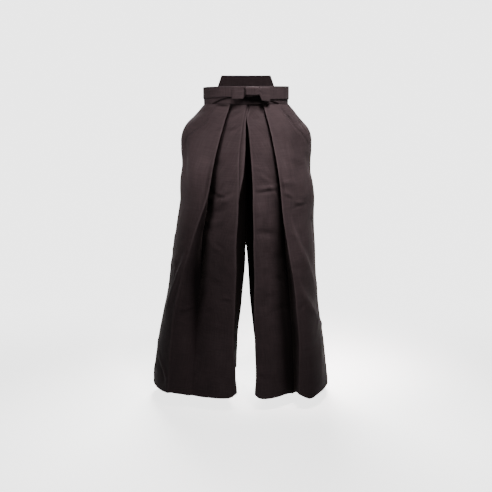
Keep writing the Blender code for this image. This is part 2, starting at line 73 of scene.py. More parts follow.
# Heights and gaps of the cut, in millimetres.
CLOTH = 1.0  # a panel's thickness
SEAM = 0.3  # gap between two pieces at a seam
DRAWN_SEAM = 0.06  # gap between two panels, drawn up tight by the thread so that no light comes through
CREASE = 1.2  # radius of a pressed fold
SHORTEST_ARC = 3.0  # a slight fold is rounder, so that it is at least this long
SLIGHTEST_FOLD = 0.05  # in radians
FRONT_TOP = -28.0
BACK_TOP = -20.0
SLIT_END = -233.0
CROTCH = -469.0
GUSSET_TOP = -474.0
HEM = -918.0
SIDE_SEAM_Y = 15.0
GUSSET_GAP = 0.8
CENTRE_SEAM_OUT = 0.9
DEEP_FULLNESS = 0.5  # how boxy the front is beside the deep open pleat
SIDE_FULLNESS = 0.55  # and at the side
RECESS_FULLNESS = 0.33
SIDE_WAY = (0.05, -1)  # the cloth's direction as it leaves the side, almost straight to the front
PLEAT_QUADS = 5  # across each face of the small pleat
ROW_STEP = 3.7  # height of a row of a panel's mesh

# The waist is two half ellipses. Each layer that goes round it is a distance out from them.
WAIST_HALF_WIDTH = 125.5
WAIST_FRONT = 97.5
WAIST_BACK = 88.0
BAND = 3.0
BAND_TOP = 22.0
BAND_END = 80.0  # degrees from the middle of the front
TIE = 2.2
LAYER_GAP = 0.4
FRONT_TIE_OUT = BAND + LAYER_GAP + TIE / 2
BACK_TIE_OUT = FRONT_TIE_OUT + TIE + LAYER_GAP

# The flat bow: a bar of folded tie, and a knot round its middle.
KNOT_ANGLE = 7.8  # degrees from the middle of the front, towards the wearer's left
KNOT_WIDTH = 39.0
KNOT_HEIGHT = 28.2
KNOT_MIDDLE = 10.5
KNOT_CORNER = 5.0
KNOT_BULGE = 1.5
BAR_REACH_RIGHT = 65.0
BAR_REACH_LEFT = 57.0
BAR_FOLD = 1.7
BAR_TUCK = 6.0
KNOT_BACK_OUT = BACK_TIE_OUT + TIE + LAYER_GAP
BAR_BACK_OUT = KNOT_BACK_OUT + TIE + LAYER_GAP
KNOT_FRONT_OUT = BAR_BACK_OUT + 4 * BAR_FOLD + TIE + LAYER_GAP

BOARD = 5.0
BOARD_TOP = 62.0
BOARD_HALF_BOTTOM = 106.0
BOARD_HALF_TOP = 78.0
BOARD_MIDDLE_Y = 100.0
BOARD_BEND = 0.0030

# Lines down the leg on the wearer's right. "out" is the distance outwards from the centre plane, and
# "slope" and "steep" say how the face meets the fold: slope is its rise towards the back for each
# millimetre towards the centre, and steep its angle in degrees as it leaves the valley for the front.
SIDE_RIGHT = [  # z, out, y
    (-28, 128, -22), (-46, 143, -19), (-65, 160, -18), (-84, 180, -15), (-103, 193, -9), (-122, 200, -3),
    (-142, 203, 3), (-168, 203, 9), (-200, 200, 13), (-233, 199, 15), (-330, 209, 15), (-442, 226, 15),
    (-560, 245, 15), (-636, 255, 15), (-754, 280, 15), (-874, 298, 15), (-918, 301, 15),
]
OUTER_RIDGE_RIGHT = [  # z, out, y, slope
    (-28, 48, -92, -0.28), (-60, 57, -100, -0.27), (-90, 66, -106, -0.26), (-149, 82, -114, -0.25),
    (-224, 100, -122, -0.25), (-293, 112, -129, -0.3), (-369, 136, -133, -0.4), (-446, 163, -131, -0.5),
    (-487, 176, -127, -0.6), (-560, 198, -120, -0.9), (-660, 220, -119, -1.2), (-780, 234, -127, -1.4),
    (-918, 242, -141, -1.5),
]
OUTER_VALLEY_RIGHT = [  # z, out, y, steep
    (-28, 54, -62, 58), (-60, 63, -64, 64), (-90, 72, -66, 68), (-149, 88, -68, 71), (-224, 107, -70, 66),
    (-293, 116, -66, 58), (-345, 119, -58, 58), (-391, 125, -50, 66), (-446, 134, -44, 78),
    (-484, 137, -44, 78), (-546, 141, -56, 74), (-610, 145, -76, 66), (-673, 150, -96, 56),
    (-737, 157, -114, 46), (-800, 161, -130, 38), (-862, 166, -144, 30), (-918, 168, -154, 24),
]
UNDERFOLD_RIGHT = [  # z, how it leaves the ridge and how it sinks into the valley, in degrees from the centre's way
    (-28, 120, 120), (-60, 116, 116), (-90, 112, 112), (-149, 108, 108), (-224, 101, 101), (-293, 90, 95),
    (-345, 66, 90), (-391, 42, 84), (-446, 24, 78), (-484, 18, 74), (-546, 10, 66), (-610, 4, 56),
    (-673, 0, 48), (-737, -4, 40), (-800, -8, 32), (-862, -12, 24), (-918, -16, 14),
]
INNER_RIDGE_RIGHT = [  # z, out, y, slope
    (-28, -3, -97.5, 0), (-89, 8, -110, -0.06), (-137, 14, -116, -0.12), (-182, 18, -122, -0.18),
    (-224, 20, -127, -0.22), (-330, 20.5, -138, -0.24), (-444, 26, -149, -0.22), (-617, 30, -164, -0.12),
    (-779, 34, -176, 0.05), (-832, 30.5, -178.5, 0.15), (-864, 29.8, -179.5, 0.2),
    (-886, 27.5, -180, 0.25), (-918, 25, -180, 0.3),
]
CENTRE_VALLEY_RIGHT = [  # z, out, y
    (-28, 22, -91.2), (-89, 30, -102.4), (-182, 40, -113), (-299, 44, -124), (-444, 50, -141),
    (-617, 54, -156), (-779, 58, -169), (-918, 54, -174),
]
CENTRE_RIDGE_RIGHT = [  # z, out, y
    (-28, -9, -91), (-48, -7, -96), (-69, -2, -100), (-89, 0, -105), (-137, 0, -111), (-182, 1.5, -116),
    (-239, 7, -122), (-275, 14, -126), (-299, 18, -128), (-368, 25, -134), (-444, 29, -141),
    (-617, 34, -156), (-779, 38, -169), (-850, 34, -171), (-918, 31, -172),
]
RECESS_RIGHT = [  # z, out, y
    (-28, -3, -87), (-98, 3, -86), (-164, 5, -76), (-254, 17, -66), (-368, 30, -62), (-469, 33, -62),
    (-560, 36, -66), (-680, 42, -74), (-918, 48, -80),
]

# Lines down the leg on the wearer's left.
SIDE_LEFT = [  # z, out, y
    (-28, 130, -22), (-46, 146, -19), (-65, 161, -18), (-84, 178, -15), (-103, 194, -9), (-122, 202, -3),
    (-142, 205, 3), (-168, 205, 9), (-200, 202, 13), (-233, 201, 15), (-271, 207, 15), (-330, 214, 15),
    (-442, 219, 15), (-560, 223, 15), (-636, 230, 15), (-754, 247, 15), (-874, 261, 15), (-918, 266, 15),
]
OUTER_RIDGE_LEFT = [  # z, out, y, slope
    (-28, 52, -91, -0.28), (-75, 67, -105, -0.27), (-104, 75, -111, -0.26), (-164, 88, -118, -0.25),
    (-224, 99, -125, -0.25), (-329, 111, -136, -0.25), (-407, 122, -143, -0.22), (-483, 134, -150, -0.15),
    (-559, 146, -157, -0.05), (-632, 155, -163, 0.05), (-708, 163, -168, 0.18), (-770, 166, -171, 0.28),
    (-918, 165, -174, 0.42),
]
OUTER_VALLEY_LEFT = [  # z, out, y, steep
    (-28, 74, -68, 36), (-60, 81, -72, 44), (-104, 92, -77, 52), (-164, 103, -77, 60), (-254, 113, -76, 64),
    (-329, 117, -74, 65), (-407, 120, -74, 65), (-483, 124, -76, 65), (-559, 130, -80, 64),
    (-632, 137, -86, 62), (-770, 147, -98, 60), (-918, 151, -112, 58),
]
INNER_RIDGE_LEFT = [  # z, out, y, slope
    (-28, 11.4, -93, 0), (-48, 9.4, -97, 0), (-66, 4.9, -101, 0), (-76, 4.9, -103, 0),
    (-98, 9, -109, 0), (-134, 13, -115, 0), (-194, 18, -122, 0), (-254, 21, -129, 0),
    (-404, 26, -144, 0.02), (-617, 27.5, -162, 0.1), (-754, 31, -172, 0.2), (-850, 32, -177, 0.3),
    (-918, 31, -178, 0.4),
]
RECESS_LEFT = [  # z, out, y
    (-28, 11, -86), (-98, 9, -86), (-164, 14, -76), (-254, 25, -66), (-368, 30, -62), (-469, 33, -62),
    (-560, 36, -66), (-680, 42, -74), (-918, 48, -80),
]

# Front centre seam down to the crotch, then the inner leg seam. Both legs share it.
FRONT_SEAM = [  # z, out, y
    (-28, CENTRE_SEAM_OUT, -81), (-98, CENTRE_SEAM_OUT, -66), (-164, CENTRE_SEAM_OUT, -42),
    (-254, CENTRE_SEAM_OUT, -22), (-350, CENTRE_SEAM_OUT, -10), (-469, CENTRE_SEAM_OUT, -5),
    (-474, 2.2, -5), (-485, 2.8, -4), (-524, 4.6, 1), (-570, 7.6, 10), (-620, 11.4, 20), (-682, 17, 20),
    (-742, 24, 20), (-802, 30.5, 20), (-862, 37, 20), (-918, 43, 20),
]

# Lines down the back of either leg. Here slope and steep count towards the front.
BACK_SLIT = [  # z, out, y
    (-20, 106, 64), (-60, 124, 62), (-103, 149, 55), (-142, 171, 43), (-168, 183, 34), (-200, 194, 23),
    (-233, 199, 15),
]
BACK_RIDGE = [  # z, out, y, slope
    (-20, 38, 95.5, -0.12), (-100, 46, 115, -0.15), (-200, 55, 130, -0.18), (-300, 62, 136, -0.15),
    (-450, 72, 142, -0.1), (-600, 80, 149, -0.05), (-750, 88, 158, 0), (-918, 96, 170, 0.1),
]
BACK_VALLEY = [  # z, out, y, steep
    (-20, 72, 80, 12), (-100, 82, 93, 17), (-200, 92, 101, 22), (-300, 99, 105, 25), (-450, 108, 110, 27),
    (-600, 116, 117, 27), (-750, 124, 127, 27), (-918, 132, 139, 27),
]
BACK_CENTRE_RIDGE = [  # z, out, y, slope
    (-20, 2.4, 93.5, 0), (-100, 2.8, 113, 0), (-200, 3.6, 127, 0), (-300, 6, 134, 0),
    (-380, 11, 138, 0), (-450, 16, 141, 0.02), (-600, 24, 148, 0.08), (-750, 31, 156, 0.15),
    (-918, 36, 166, 0.3),
]
BACK_RECESS = [  # z, out, y
    (-20, 5, 86), (-100, 6, 100), (-200, 7, 103), (-300, 8, 100), (-469, 11, 95), (-617, 22, 95),
    (-918, 44, 100),
]
BACK_SEAM = [  # z, out, y
    (-20, CENTRE_SEAM_OUT, 79), (-100, CENTRE_SEAM_OUT, 86), (-200, CENTRE_SEAM_OUT, 82),
    (-300, CENTRE_SEAM_OUT, 70), (-400, CENTRE_SEAM_OUT, 53), (-469, CENTRE_SEAM_OUT, 45), (-474, 2.2, 45),
    (-485, 2.8, 43), (-524, 4.6, 37), (-570, 7.6, 28.5), (-620, 11.4, 20), (-682, 17, 20), (-742, 24, 20),
    (-802, 30.5, 20), (-862, 37, 20), (-918, 43, 20),
]

# The height of each layer's two edges round the waist. Angles are in degrees from the middle of the
# front, and grow towards the wearer's left.
FRONT_TIE_EDGES = [  # angle, low, high
    (-180, -14, 20), (-115, -19, 14), (-85, -29.4, 8), (-62, -29.4, 8), (-49, -25, 8), (-34, -13, 12),
    (-20, -7, 14), (0, -5, 16), (20, -8, 15), (38, -19, 12), (58, -29.4, 9), (85, -29.4, 9), (120, -19, 14),
    (180, -14, 20),
]
RIGHT_TIE_EDGES = [  # angle, low, high
    (-144, -17, 16), (-110, -13, 21), (-75, -11, 24), (-49, -8.5, 25.5), (-20, -6, 26), (8.2, -6, 26),
]
LEFT_TIE_EDGES = [  # angle, low, high
    (8.8, -11, 26), (33, -13.5, 27), (75, -13.5, 27), (110, -14, 22), (144, -17, 16),
]
BAR_EDGES = [  # distance from the knot's middle, low, high
    (-65, -12.5, 25.5), (-30, -12, 25.2), (-25, -5, 22.5), (-20, 1.7, 19.3), (0, 1.7, 19.3),
    (20, 1.7, 19.3), (25, -7, 22), (30, -17, 23), (57, -20, 22.5),
]


class Turn(Enum):
    """How the cloth turns at a line: out at a ridge, in at a valley, or not at all."""

    RIDGE = 1
    VALLEY = -1
    PLAIN = 0


class Stretch(Enum):
    """The part of a panel that a column of its mesh lies in, from the side to the centre seam."""

    OUTER = 0  # from the side to the pleat's ridge
    UNDER = 1  # turned under, from the ridge back to the valley
    INNER = 2  # from the valley to the ridge at the inside of the leg
    PLEAT_UNDER = 3  # the small centre pleat's hidden side
    PLEAT = 4
    RECESS = 5  # from the front back to the centre seam


class FoldShape(Enum):
    """A listed fold's section."""

    SOFT = "soft"  # a round ridge or trough
    PRESSED = "pressed"  # a roof with a sharp top


def steady_slopes(x: Array, y: Array) -> Array:
    """Slopes of a smooth curve through points that never overshoots them.

    Args:
        x: the points' first coordinates, growing.
        y: their second coordinates.

    Returns:
        The curve's slope at each point.
    """
    step = np.diff(y) / np.diff(x)
    slopes = np.empty(len(x))
    slopes[0], slopes[-1] = step[0], step[-1]
    before, after = step[:-1], step[1:]
    same_way = before * after > 0
    slopes[1:-1] = np.where(same_way, 2 * before * after / np.where(same_way, before + after, 1), 0)
    return slopes


def run_lengths(points: Array) -> Array:
    """How far each place is along its line, where the last axis but one runs along the lines."""
    steps = np.linalg.norm(np.diff(points, axis=-2), axis=-1)
    return np.concatenate((np.zeros((*steps.shape[:-1], 1)), np.cumsum(steps, axis=-1)), axis=-1)


class Line:
    """A smooth line through a table's rows: a fold, seam or edge."""

    def __init__(self, table: Table) -> None:
        """Keep the rows in growing order with the curve's slopes.

        Args:
            table: rows of (where, value, ...).
        """
        rows = np.array(table, float)
        if rows[0, 0] > rows[-1, 0]:
            rows = rows[::-1]
        self.where = rows[:, 0]
        self.values = rows[:, 1:]
        self.slopes = np.array([steady_slopes(self.where, column) for column in self.values.T]).T

    def at(self, where: float) -> Array:
        """The line's values at a place, held at the table's ends.

        Args:
            where: a height or an angle, in the table's first column's unit.

        Returns:
            The other columns' values there.
        """
        where = float(np.clip(where, self.where[0], self.where[-1]))
        k = int(np.clip(np.searchsorted(self.where, where) - 1, 0, len(self.where) - 2))
        span = self.where[k + 1] - self.where[k]
        t = (where - self.where[k]) / span
        return (
            (2 * t**3 - 3 * t**2 + 1) * self.values[k]
            + (t**3 - 2 * t**2 + t) * span * self.slopes[k]
            + (3 * t**2 - 2 * t**3) * self.values[k + 1]
            + (t**3 - t**2) * span * self.slopes[k + 1]
        )


def turned(vector: Array, angle: float) -> Array:
    """A plane vector turned by an angle in radians."""
    c, s = math.cos(angle), math.sin(angle)
    return np.array([c * vector[0] - s * vector[1], s * vector[0] + c * vector[1]])


def unit(vector: Array | Way) -> Array:
    """A plane vector made one long."""
    return np.array(vector, float) / np.linalg.norm(vector)


def across(place: Array) -> Array:
    """A place of a line's table as a point whose first number grows towards the centre."""
    return np.array([-place[0], place[1]])


def steep_way(degrees: float) -> Way:
    """The direction in which a face leaves a valley for the front."""
    return math.cos(math.radians(degrees)), -math.sin(math.radians(degrees))


@dataclass(frozen=True)
class Face:
    """A smooth stretch of a section between two lines, with its directions there if they matter."""

    stretch: Stretch
    quads: int
    start_way: Way | None = None
    end_way: Way | None = None
    fullness: float = 0.38
    quarter_round: bool = False

    def handles(self, start: Array, end: Array) -> Pair:
        """The curve's two handles between the face's ends.

        Args:
            start: the point that the face leaves.
            end: the point that it arrives at.

        Returns:
            The vectors along which it leaves and arrives.
        """
        chord = end - start
        reaches = (abs(chord[1]), abs(chord[0])) if self.quarter_round else (np.linalg.norm(chord),) * 2
        ways = (chord if way is None else way for way in (self.start_way, self.end_way))
        return tuple(unit(way) * (reach * self.fullness) for way, reach in zip(ways, reaches))

    def points(self, start: Array, end: Array) -> list[Array]:
        """Points along the face, without its start.

        Args:
            start: the point that the face leaves.
            end: the point that it arrives at.

        Returns:
            One point for each quad.
        """
        leaving, arriving = self.handles(start, end)
        t = np.arange(1, self.quads + 1)[:, None] / self.quads
        return list(
            (1 - t) ** 3 * start
            + 3 * (1 - t) ** 2 * t * (start + leaving)
            + 3 * (1 - t) * t**2 * (end - arriving)
            + t**3 * end
        )


@dataclass(frozen=True)
class Stop:
    """A point of a section where two faces meet."""

    place: Array
    turn: Turn = Turn.PLAIN


CREASE_QUADS = 5


def crease_round(tip: Array, arriving: Array, leaving: Array, turn: int) -> list[Array]:
    """Points round a pressed fold.

    Args:
        tip: the fold's outermost point.
        arriving: the direction in which the cloth comes to it.
        leaving: the direction in which it goes on.
        turn: 1 at a ridge and -1 at a valley.

    Returns:
        The points of the round, from where it starts to where it ends.
    """
    swing = turn * (math.atan2(leaving[1], leaving[0]) - math.atan2(arriving[1], arriving[0]))
    swing %= 2 * math.pi
    if swing > 1.5 * math.pi or swing < SLIGHTEST_FOLD:
        swing = SLIGHTEST_FOLD
    start = turned(arriving, -turn * math.pi / 2) * max(CREASE, SHORTEST_ARC / swing)
    centre = tip - turned(start, turn * swing / 2)
    return [centre + turned(start, turn * swing * k / CREASE_QUADS) for k in range(CREASE_QUADS + 1)]


def section(stops: Sequence[Stop], faces: Sequence[Face]) -> Array:
    """The points of one section.

    Args:
        stops: where the faces start, meet and end.
        faces: the faces between them, in order.

    Returns:
        Points as (towards the centre, y).
    """
    entry = [stop.place for stop in stops]
    leave = list(entry)
    rounds = [[stop.place] for stop in stops]
    for _ in range(4):
        for k in range(1, len(stops) - 1):
            turn = stops[k].turn.value
            if turn == 0:
                continue
            arriving = faces[k - 1].handles(leave[k - 1], entry[k])[1]
            leaving = faces[k].handles(leave[k], entry[k + 1])[0]
            rounds[k] = crease_round(stops[k].place, unit(arriving), unit(leaving), turn)
            entry[k], leave[k] = rounds[k][0], rounds[k][-1]
    points = list(rounds[0])
    for k, face in enumerate(faces):
        points += face.points(leave[k], entry[k + 1])
        points += rounds[k + 1][1:]
    return np.array(points)


def column_stretches(turns: Sequence[Turn], faces: Sequence[Face]) -> tuple[Array, dict[int, Turn]]:
    """What each column of a panel lies in, and the columns at the tips of its folds.

    Args:
        turns: how the cloth turns at each stop.
        faces: the faces between them.

    Returns:
        The value of each column's stretch, and the turn at each fold's middle column.
    """
    stretches, tips = [faces[0].stretch.value], {}
    for k, face in enumerate(faces):
        stretches += [face.stretch.value] * face.quads
        if turns[k + 1] is not Turn.PLAIN:
            tips[len(stretches) - 1 + CREASE_QUADS // 2] = turns[k + 1]
            following = faces[k + 1].stretch.value
            half = CREASE_QUADS // 2
            stretches += [face.stretch.value] * half + [following] * (CREASE_QUADS - half)
    return np.array(stretches), tips


@dataclass(frozen=True)
class Furrow:
    """A fold placed along a path on the cloth: a ridge, or a trough if its height is below 0."""

    path: tuple[float, ...]  # places (out from the centre plane, below the waist), one after another
    height: float
    width: float  # from its middle to where it has mostly faded
    on: Stretch
    shape: FoldShape = FoldShape.SOFT
    wear_and_painted_light: float = 0.0  # how far wear and painted highlight pale its top, from 0 to 1, or below 0 how dark the painted shade in its depth is
    wear_and_painted_light_width: float = 5.0  # from the middle of that to where it has mostly faded

    def gaps(self, out: Array, up: Array) -> Pair:
        """Each point's distance from the path, and the fold's strength there.

        Args:
            out: the points' distances out from the centre plane.
            up: their heights.

        Returns:
            The distances, and the strengths from 0 to 1.
        """
        path = np.reshape(self.path, (-1, 2)) * (1.0, -1.0)
        steps = np.linalg.norm(np.diff(path, axis=0), axis=1)
        so_far = run_lengths(path) / steps.sum()
        nearest = np.full(out.shape, np.inf)
        along = np.zeros(out.shape)
        for k, start in enumerate(path[:-1]):
            way = (path[k + 1] - start) / steps[k]
            from_x, from_y = out - start[0], up - start[1]
            t = np.clip((from_x * way[0] + from_y * way[1]) / steps[k], 0, 1)
            gap = np.hypot(from_x - t * steps[k] * way[0], from_y - t * steps[k] * way[1])
            closer = gap < nearest
            nearest = np.where(closer, gap, nearest)
            along = np.where(closer, so_far[k] + t * (so_far[k + 1] - so_far[k]), along)
        return nearest, np.sqrt(np.clip(np.sin(np.pi * np.clip(along, 0.03, 0.97)), 0, 1))

    def heights(self, out: Array, up: Array) -> Array:
        """How far the fold moves each point of a sheet outwards.

        Args:
            out: the points' distances out from the centre plane.
            up: their heights.

        Returns:
            The distances in millimetres.
        """
        nearest, taper = self.gaps(out, up)
        share = nearest / self.width
        if self.shape is FoldShape.PRESSED:
            return self.height * taper * np.exp(0.12 - np.sqrt(share**2 + 0.015))
        return self.height * taper * np.exp(-(share**2))

    def wear_and_painted_light_at(self, out: Array, up: Array) -> Array:
        """How far each point of a sheet is paled by wear and painted highlight, or below 0 how dark the painted shade
        in the fold's depth is.
        """
        nearest, taper = self.gaps(out, up)
        return self.wear_and_painted_light * taper * np.exp(-((nearest / self.wear_and_painted_light_width) ** 2))


@dataclass(frozen=True)
class Rumples:
    """Small uneven dents, as worn cloth has all over. The same seed gives the same dents."""

    seed: int
    count: int = 150
    height: float = 1.5
    lengths: Way = (20.0, 75.0)
    widths: Way = (6.0, 17.0)
    lean: float = 0.35  # how far from level they lie, as a share of a right angle

    def heights(self, along: Array, up: Array) -> Array:
        """How far the dents move each point of a sheet outwards.

        Args:
            along: distances across the cloth.
            up: heights.

        Returns:
            The distances in millimetres.
        """
        rng = np.random.default_rng(self.seed)
        moved = np.zeros(along.shape)
        for _ in range(self.count):
            middle_along = rng.uniform(along.min(), along.max())
            middle_up = rng.uniform(up.min(), up.max())
            angle = rng.normal(0, self.lean) * math.pi / 2
            long, wide = rng.uniform(*self.lengths), rng.uniform(*self.widths)
            p, q = along - middle_along, up - middle_up
            lengthwise = (p * math.cos(angle) + q * math.sin(angle)) / long
            crosswise = (q * math.cos(angle) - p * math.sin(angle)) / wide
            bend = crosswise + 0.8 * lengthwise**2 * rng.uniform(-1, 1)
            moved += rng.normal(0, self.height) * np.exp(-(lengthwise**2) * 2 - bend**2)
        return moved


def smooth_share(value: Array | float) -> Array | float:
    """0 below 0, 1 above 1, and a smooth rise between them."""
    t = np.clip(value, 0, 1)
    return t * t * (3 - 2 * t)


def drifted(points: Array) -> Array:
    """Panel points moved by the long slow waves that all pieces of the legs share, so that seams stay closed.

    Args:
        points: places in millimetres, in an array whose last axis is (x, y, z).

    Returns:
        The moved places.
    """
    x, y, z = points[..., 0], points[..., 1], points[..., 2]
    share = smooth_share((-60 - z) / 260)
    moved = points.copy()
    moved[..., 0] += share * (0.9 * np.sin(z / 47 + 0.8) + 0.5 * np.sin(z / 23 + x / 60))
    moved[..., 0] += smooth_share((-30 - z) / 40) * 1.6 * y / 100
    moved[..., 1] += share * (1.1 * np.sin(z / 61 + x / 75 + 2.1) + 0.6 * np.sin(z / 31 - x / 48))
    hem = smooth_share((-760 - z) / 158)
    moved[..., 2] += hem * (1.3 * np.sin(x / 34 + y / 50) + 0.7 * np.sin(x / 15 - y / 28 + 1))
    return moved


@dataclass
class Grid:
    """A sheet's middle surface as rows of points, in millimetres."""

    points: Array
    stretches: Array
    tips: dict[int, Turn]
    heights: Array  # of the rows, before the hem's rise
    hand: int
    faces_out: int  # 1 or -1, to point the normals out of the garment

    def along(self) -> Array:
        """How far each point is along its row, from the side."""
        return run_lengths(self.points)

    def normals(self) -> Array:
        """The directions out of the garment.

        Returns:
            One for each point.
        """
        over = np.gradient(self.points, axis=1)
        down = np.gradient(self.points, axis=0)
        normal = np.cross(over, down) * self.faces_out
        return normal / np.maximum(np.linalg.norm(normal, axis=2, keepdims=True), 1e-9)

    def from_folds(self, *turns: Turn) -> Array:
        """Each point's distance along the cloth from the nearest fold that turns in one of these ways."""
        along = self.along()
        return np.min([np.abs(along - along[:, k : k + 1]) for k, turn in self.tips.items() if turn in turns], axis=0)

    def sheltered(self, shallow: float = 5.0, deep: float = 44.0) -> Array:
        """How much painted shade each point gets, from how far it lies inside the pleats.

        Args:
            shallow: how far behind the pleats' ridges the painted shade starts.
            deep: how far behind them it is complete.

        Returns:
            0 on the open faces, rising to 1 where the painted shade is full.
        """
        ridges = [tip for tip, turn in self.tips.items() if turn is Turn.RIDGE]
        out = self.points[..., 0] * self.hand
        back = self.points[..., 1] * self.hand * self.faces_out
        depth = np.zeros(out.shape)
        for row, (places, depths) in enumerate(zip(out, back)):
            order = sorted(ridges, key=lambda tip: places[tip])
            depth[row] = depths - np.interp(places, places[order], depths[order])
        inside = self.stretches != Stretch.OUTER.value
        return smooth_share((depth - shallow) / (deep - shallow)) * inside

    def row_at(self, up: float) -> float:
        """The row at a height, with a fraction."""
        return float(np.interp(-up, -self.heights, np.arange(len(self.heights))))

    def level(self, values: Array, row: float) -> Array:
        """The values of each column at a row with a fraction."""
        low = min(int(row), len(values) - 2)
        return values[low] * (1 - row + low) + values[low + 1] * (row - low)

    def at(self, stretch: Stretch, out: float, up: float) -> Pair:
        """A point on one stretch of the sheet and the normal there.

        Args:
            stretch: the stretch to look on.
            out: the point's distance out from the centre plane.
            up: its height.

        Returns:
            The point and the normal.
        """
        columns = np.flatnonzero(self.stretches == stretch.value)
        row = self.row_at(up)
        reach = self.level(self.points[:, columns, 0], row) * self.hand
        order = np.argsort(reach)
        column = float(np.interp(out, reach[order], order.astype(float)))
        return self.between(row, columns[0] + column)

    def in_from_side(self, gap: float, up: float) -> Pair:
        """A point beside the side edge, and the normal there.

        Args:
            gap: how far in from the edge.
            up: its height.

        Returns:
            The point and the normal.
        """
        row = self.row_at(up)
        reach = self.level(self.along(), row)
        return self.between(row, float(np.interp(gap, reach, np.arange(len(reach)))))

    def between(self, row: float, column: float) -> Pair:
        """The point and normal at a place between rows and columns.

        Args:
            row: the place's row, with a fraction.
            column: its column, with a fraction.

        Returns:
            The point and the normal.
        """
        r = min(int(row), self.points.shape[0] - 2)
        c = min(int(column), self.points.shape[1] - 2)
        a, b = row - r, column - c
        corner = self.points[r : r + 2, c : c + 2]
        point = (corner * np.outer((1 - a, a), (1 - b, b))[..., None]).sum(axis=(0, 1))
        over = (corner[:, 1] - corner[:, 0]).mean(axis=0)
        down = (corner[1] - corner[0]).mean(axis=0)
        normal = np.cross(over, down) * self.faces_out
        return point, normal / np.linalg.norm(normal)


def skinned(
    name: str, points: Array, wraps_down: bool = False, wraps_across: bool = False, caps: bool = False
) -> Object:
    """A mesh object with a face between each four neighbouring points and a UV map in metres of cloth.

    Args:
        name: the object's name.
        points: rows and columns of places in millimetres.
        wraps_down: whether the last row joins the first.
        wraps_across: whether the last column joins the first.
        caps: whether the first and last columns, which are rings, are closed.

    Returns:
        The linked object.
    """
    rows, columns = points.shape[:2]
    laid = points
    if wraps_down:
        laid = np.concatenate((laid, laid[:1]), axis=0)
    if wraps_across:
        laid = np.concatenate((laid, laid[:, :1]), axis=1)
    u, v = run_lengths(laid) * MM, run_lengths(laid.swapaxes(0, 1)).T * MM
    r, c = np.meshgrid(np.arange(len(laid) - 1), np.arange(laid.shape[1] - 1), indexing="ij")
    r, c = r.ravel(), c.ravel()
    corners = [(r, c), (r, c + 1), (r + 1, c + 1), (r + 1, c)]
    faces = np.stack([(cr % rows) * columns + cc % columns for cr, cc in corners], axis=1)
    places = np.stack([np.stack((u[cr, cc], -v[cr, cc]), axis=1) for cr, cc in corners], axis=1)
    loops = faces.tolist()
    flat_uv = places.reshape(-1, 2)
    if caps:
        ends = [[k * columns for k in range(rows)], [k * columns + columns - 1 for k in range(rows)][::-1]]
        loops += ends
        flat_uv = np.concatenate((flat_uv, points.reshape(-1, 3)[sum(ends, [])][:, 1:] * MM))
    mesh = bpy.data.meshes.new(name)
    mesh.from_pydata((points.reshape(-1, 3) * MM).tolist(), [], loops)
    mesh.uv_layers.new(name="Cloth").data.foreach_set("uv", flat_uv.ravel())
    return linked(name, mesh)


def linked(name: str, mesh: Mesh) -> Object:
    """Link a mesh to the scene, smooth all over.

    Args:
        name: its object's name.
        mesh: the mesh.

    Returns:
        The object.
    """
    mesh.shade_smooth()
    obj = bpy.data.objects.new(name, mesh)
    bpy.context.scene.collection.objects.link(obj)
    return obj


def share_of(obj: Object, name: str, shares: Array) -> None:
    """Store a share from 0 to 1 for each vertex of a piece, which its finish reads."""
    obj.data.attributes.new(name, "FLOAT", "POINT").data.foreach_set("value", np.ravel(shares))


def dressed(obj: Object, finish: Material, slot: str, *nodes: str) -> Object:
    """Give a piece its finish and its body, and hide the solids that it stands for.

    Args:
        obj: the piece.
        finish: its material.
        slot: not used.
        nodes: the solids.

    Returns:
        The piece.
    """
    obj.data.materials.append(finish)
    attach(obj, BODY)
    if nodes:
        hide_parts(*nodes)
    log.info("%s: %d faces", obj.name, len(obj.data.polygons))
    return obj


def choose(obj: Object) -> None:
    """Select one object alone and make it the active one.

    Args:
        obj: the object.
    """
    bpy.ops.object.select_all(action="DESELECT")
    obj.select_set(True)
    bpy.context.view_layer.objects.active = obj


def thickened(obj: Object, thickness: float, doubled: Array | None = None) -> None:
    """Give a sheet its thickness, and twice that where it is hemmed.

    Args:
        obj: the sheet.
        thickness: in millimetres.
        doubled: for each vertex, 0 where the cloth is single and 1 where it is doubled.
    """
    choose(obj)
    wall = obj.modifiers.new("Cloth", "SOLIDIFY")
    wall.offset = 0.0
    wall.use_even_offset = True
    wall.use_quality_normals = True
    wall.thickness = thickness * MM
    if doubled is not None:
        group = obj.vertex_groups.new(name="Hemmed")
        for index, share in enumerate(doubled):
            group.add([index], 0.5 + 0.5 * float(share), "REPLACE")
        wall.vertex_group = group.name
        wall.thickness = 2 * thickness * MM
    bpy.ops.object.modifier_apply(modifier=wall.name)
    obj.vertex_groups.clear()
    bpy.ops.object.shade_smooth_by_angle(angle=math.radians(55))


FRONT_SEAM_LINE, BACK_SEAM_LINE = Line(FRONT_SEAM), Line(BACK_SEAM)
BACK_SLIT_LINE, BACK_RIDGE_LINE, BACK_VALLEY_LINE, BACK_CENTRE_LINE, BACK_RECESS_LINE = map(
    Line, (BACK_SLIT, BACK_RIDGE, BACK_VALLEY, BACK_CENTRE_RIDGE, BACK_RECESS)
)


@dataclass(frozen=True)
class LegLines:
    """The lines down one leg of the front, and the side line that its back shares."""

    side: Line
    ridge: Line
    valley: Line
    inner: Line
    recess: Line
    underfold: Line | None = None
    centre_pleat: tuple[Line, Line] | None = None


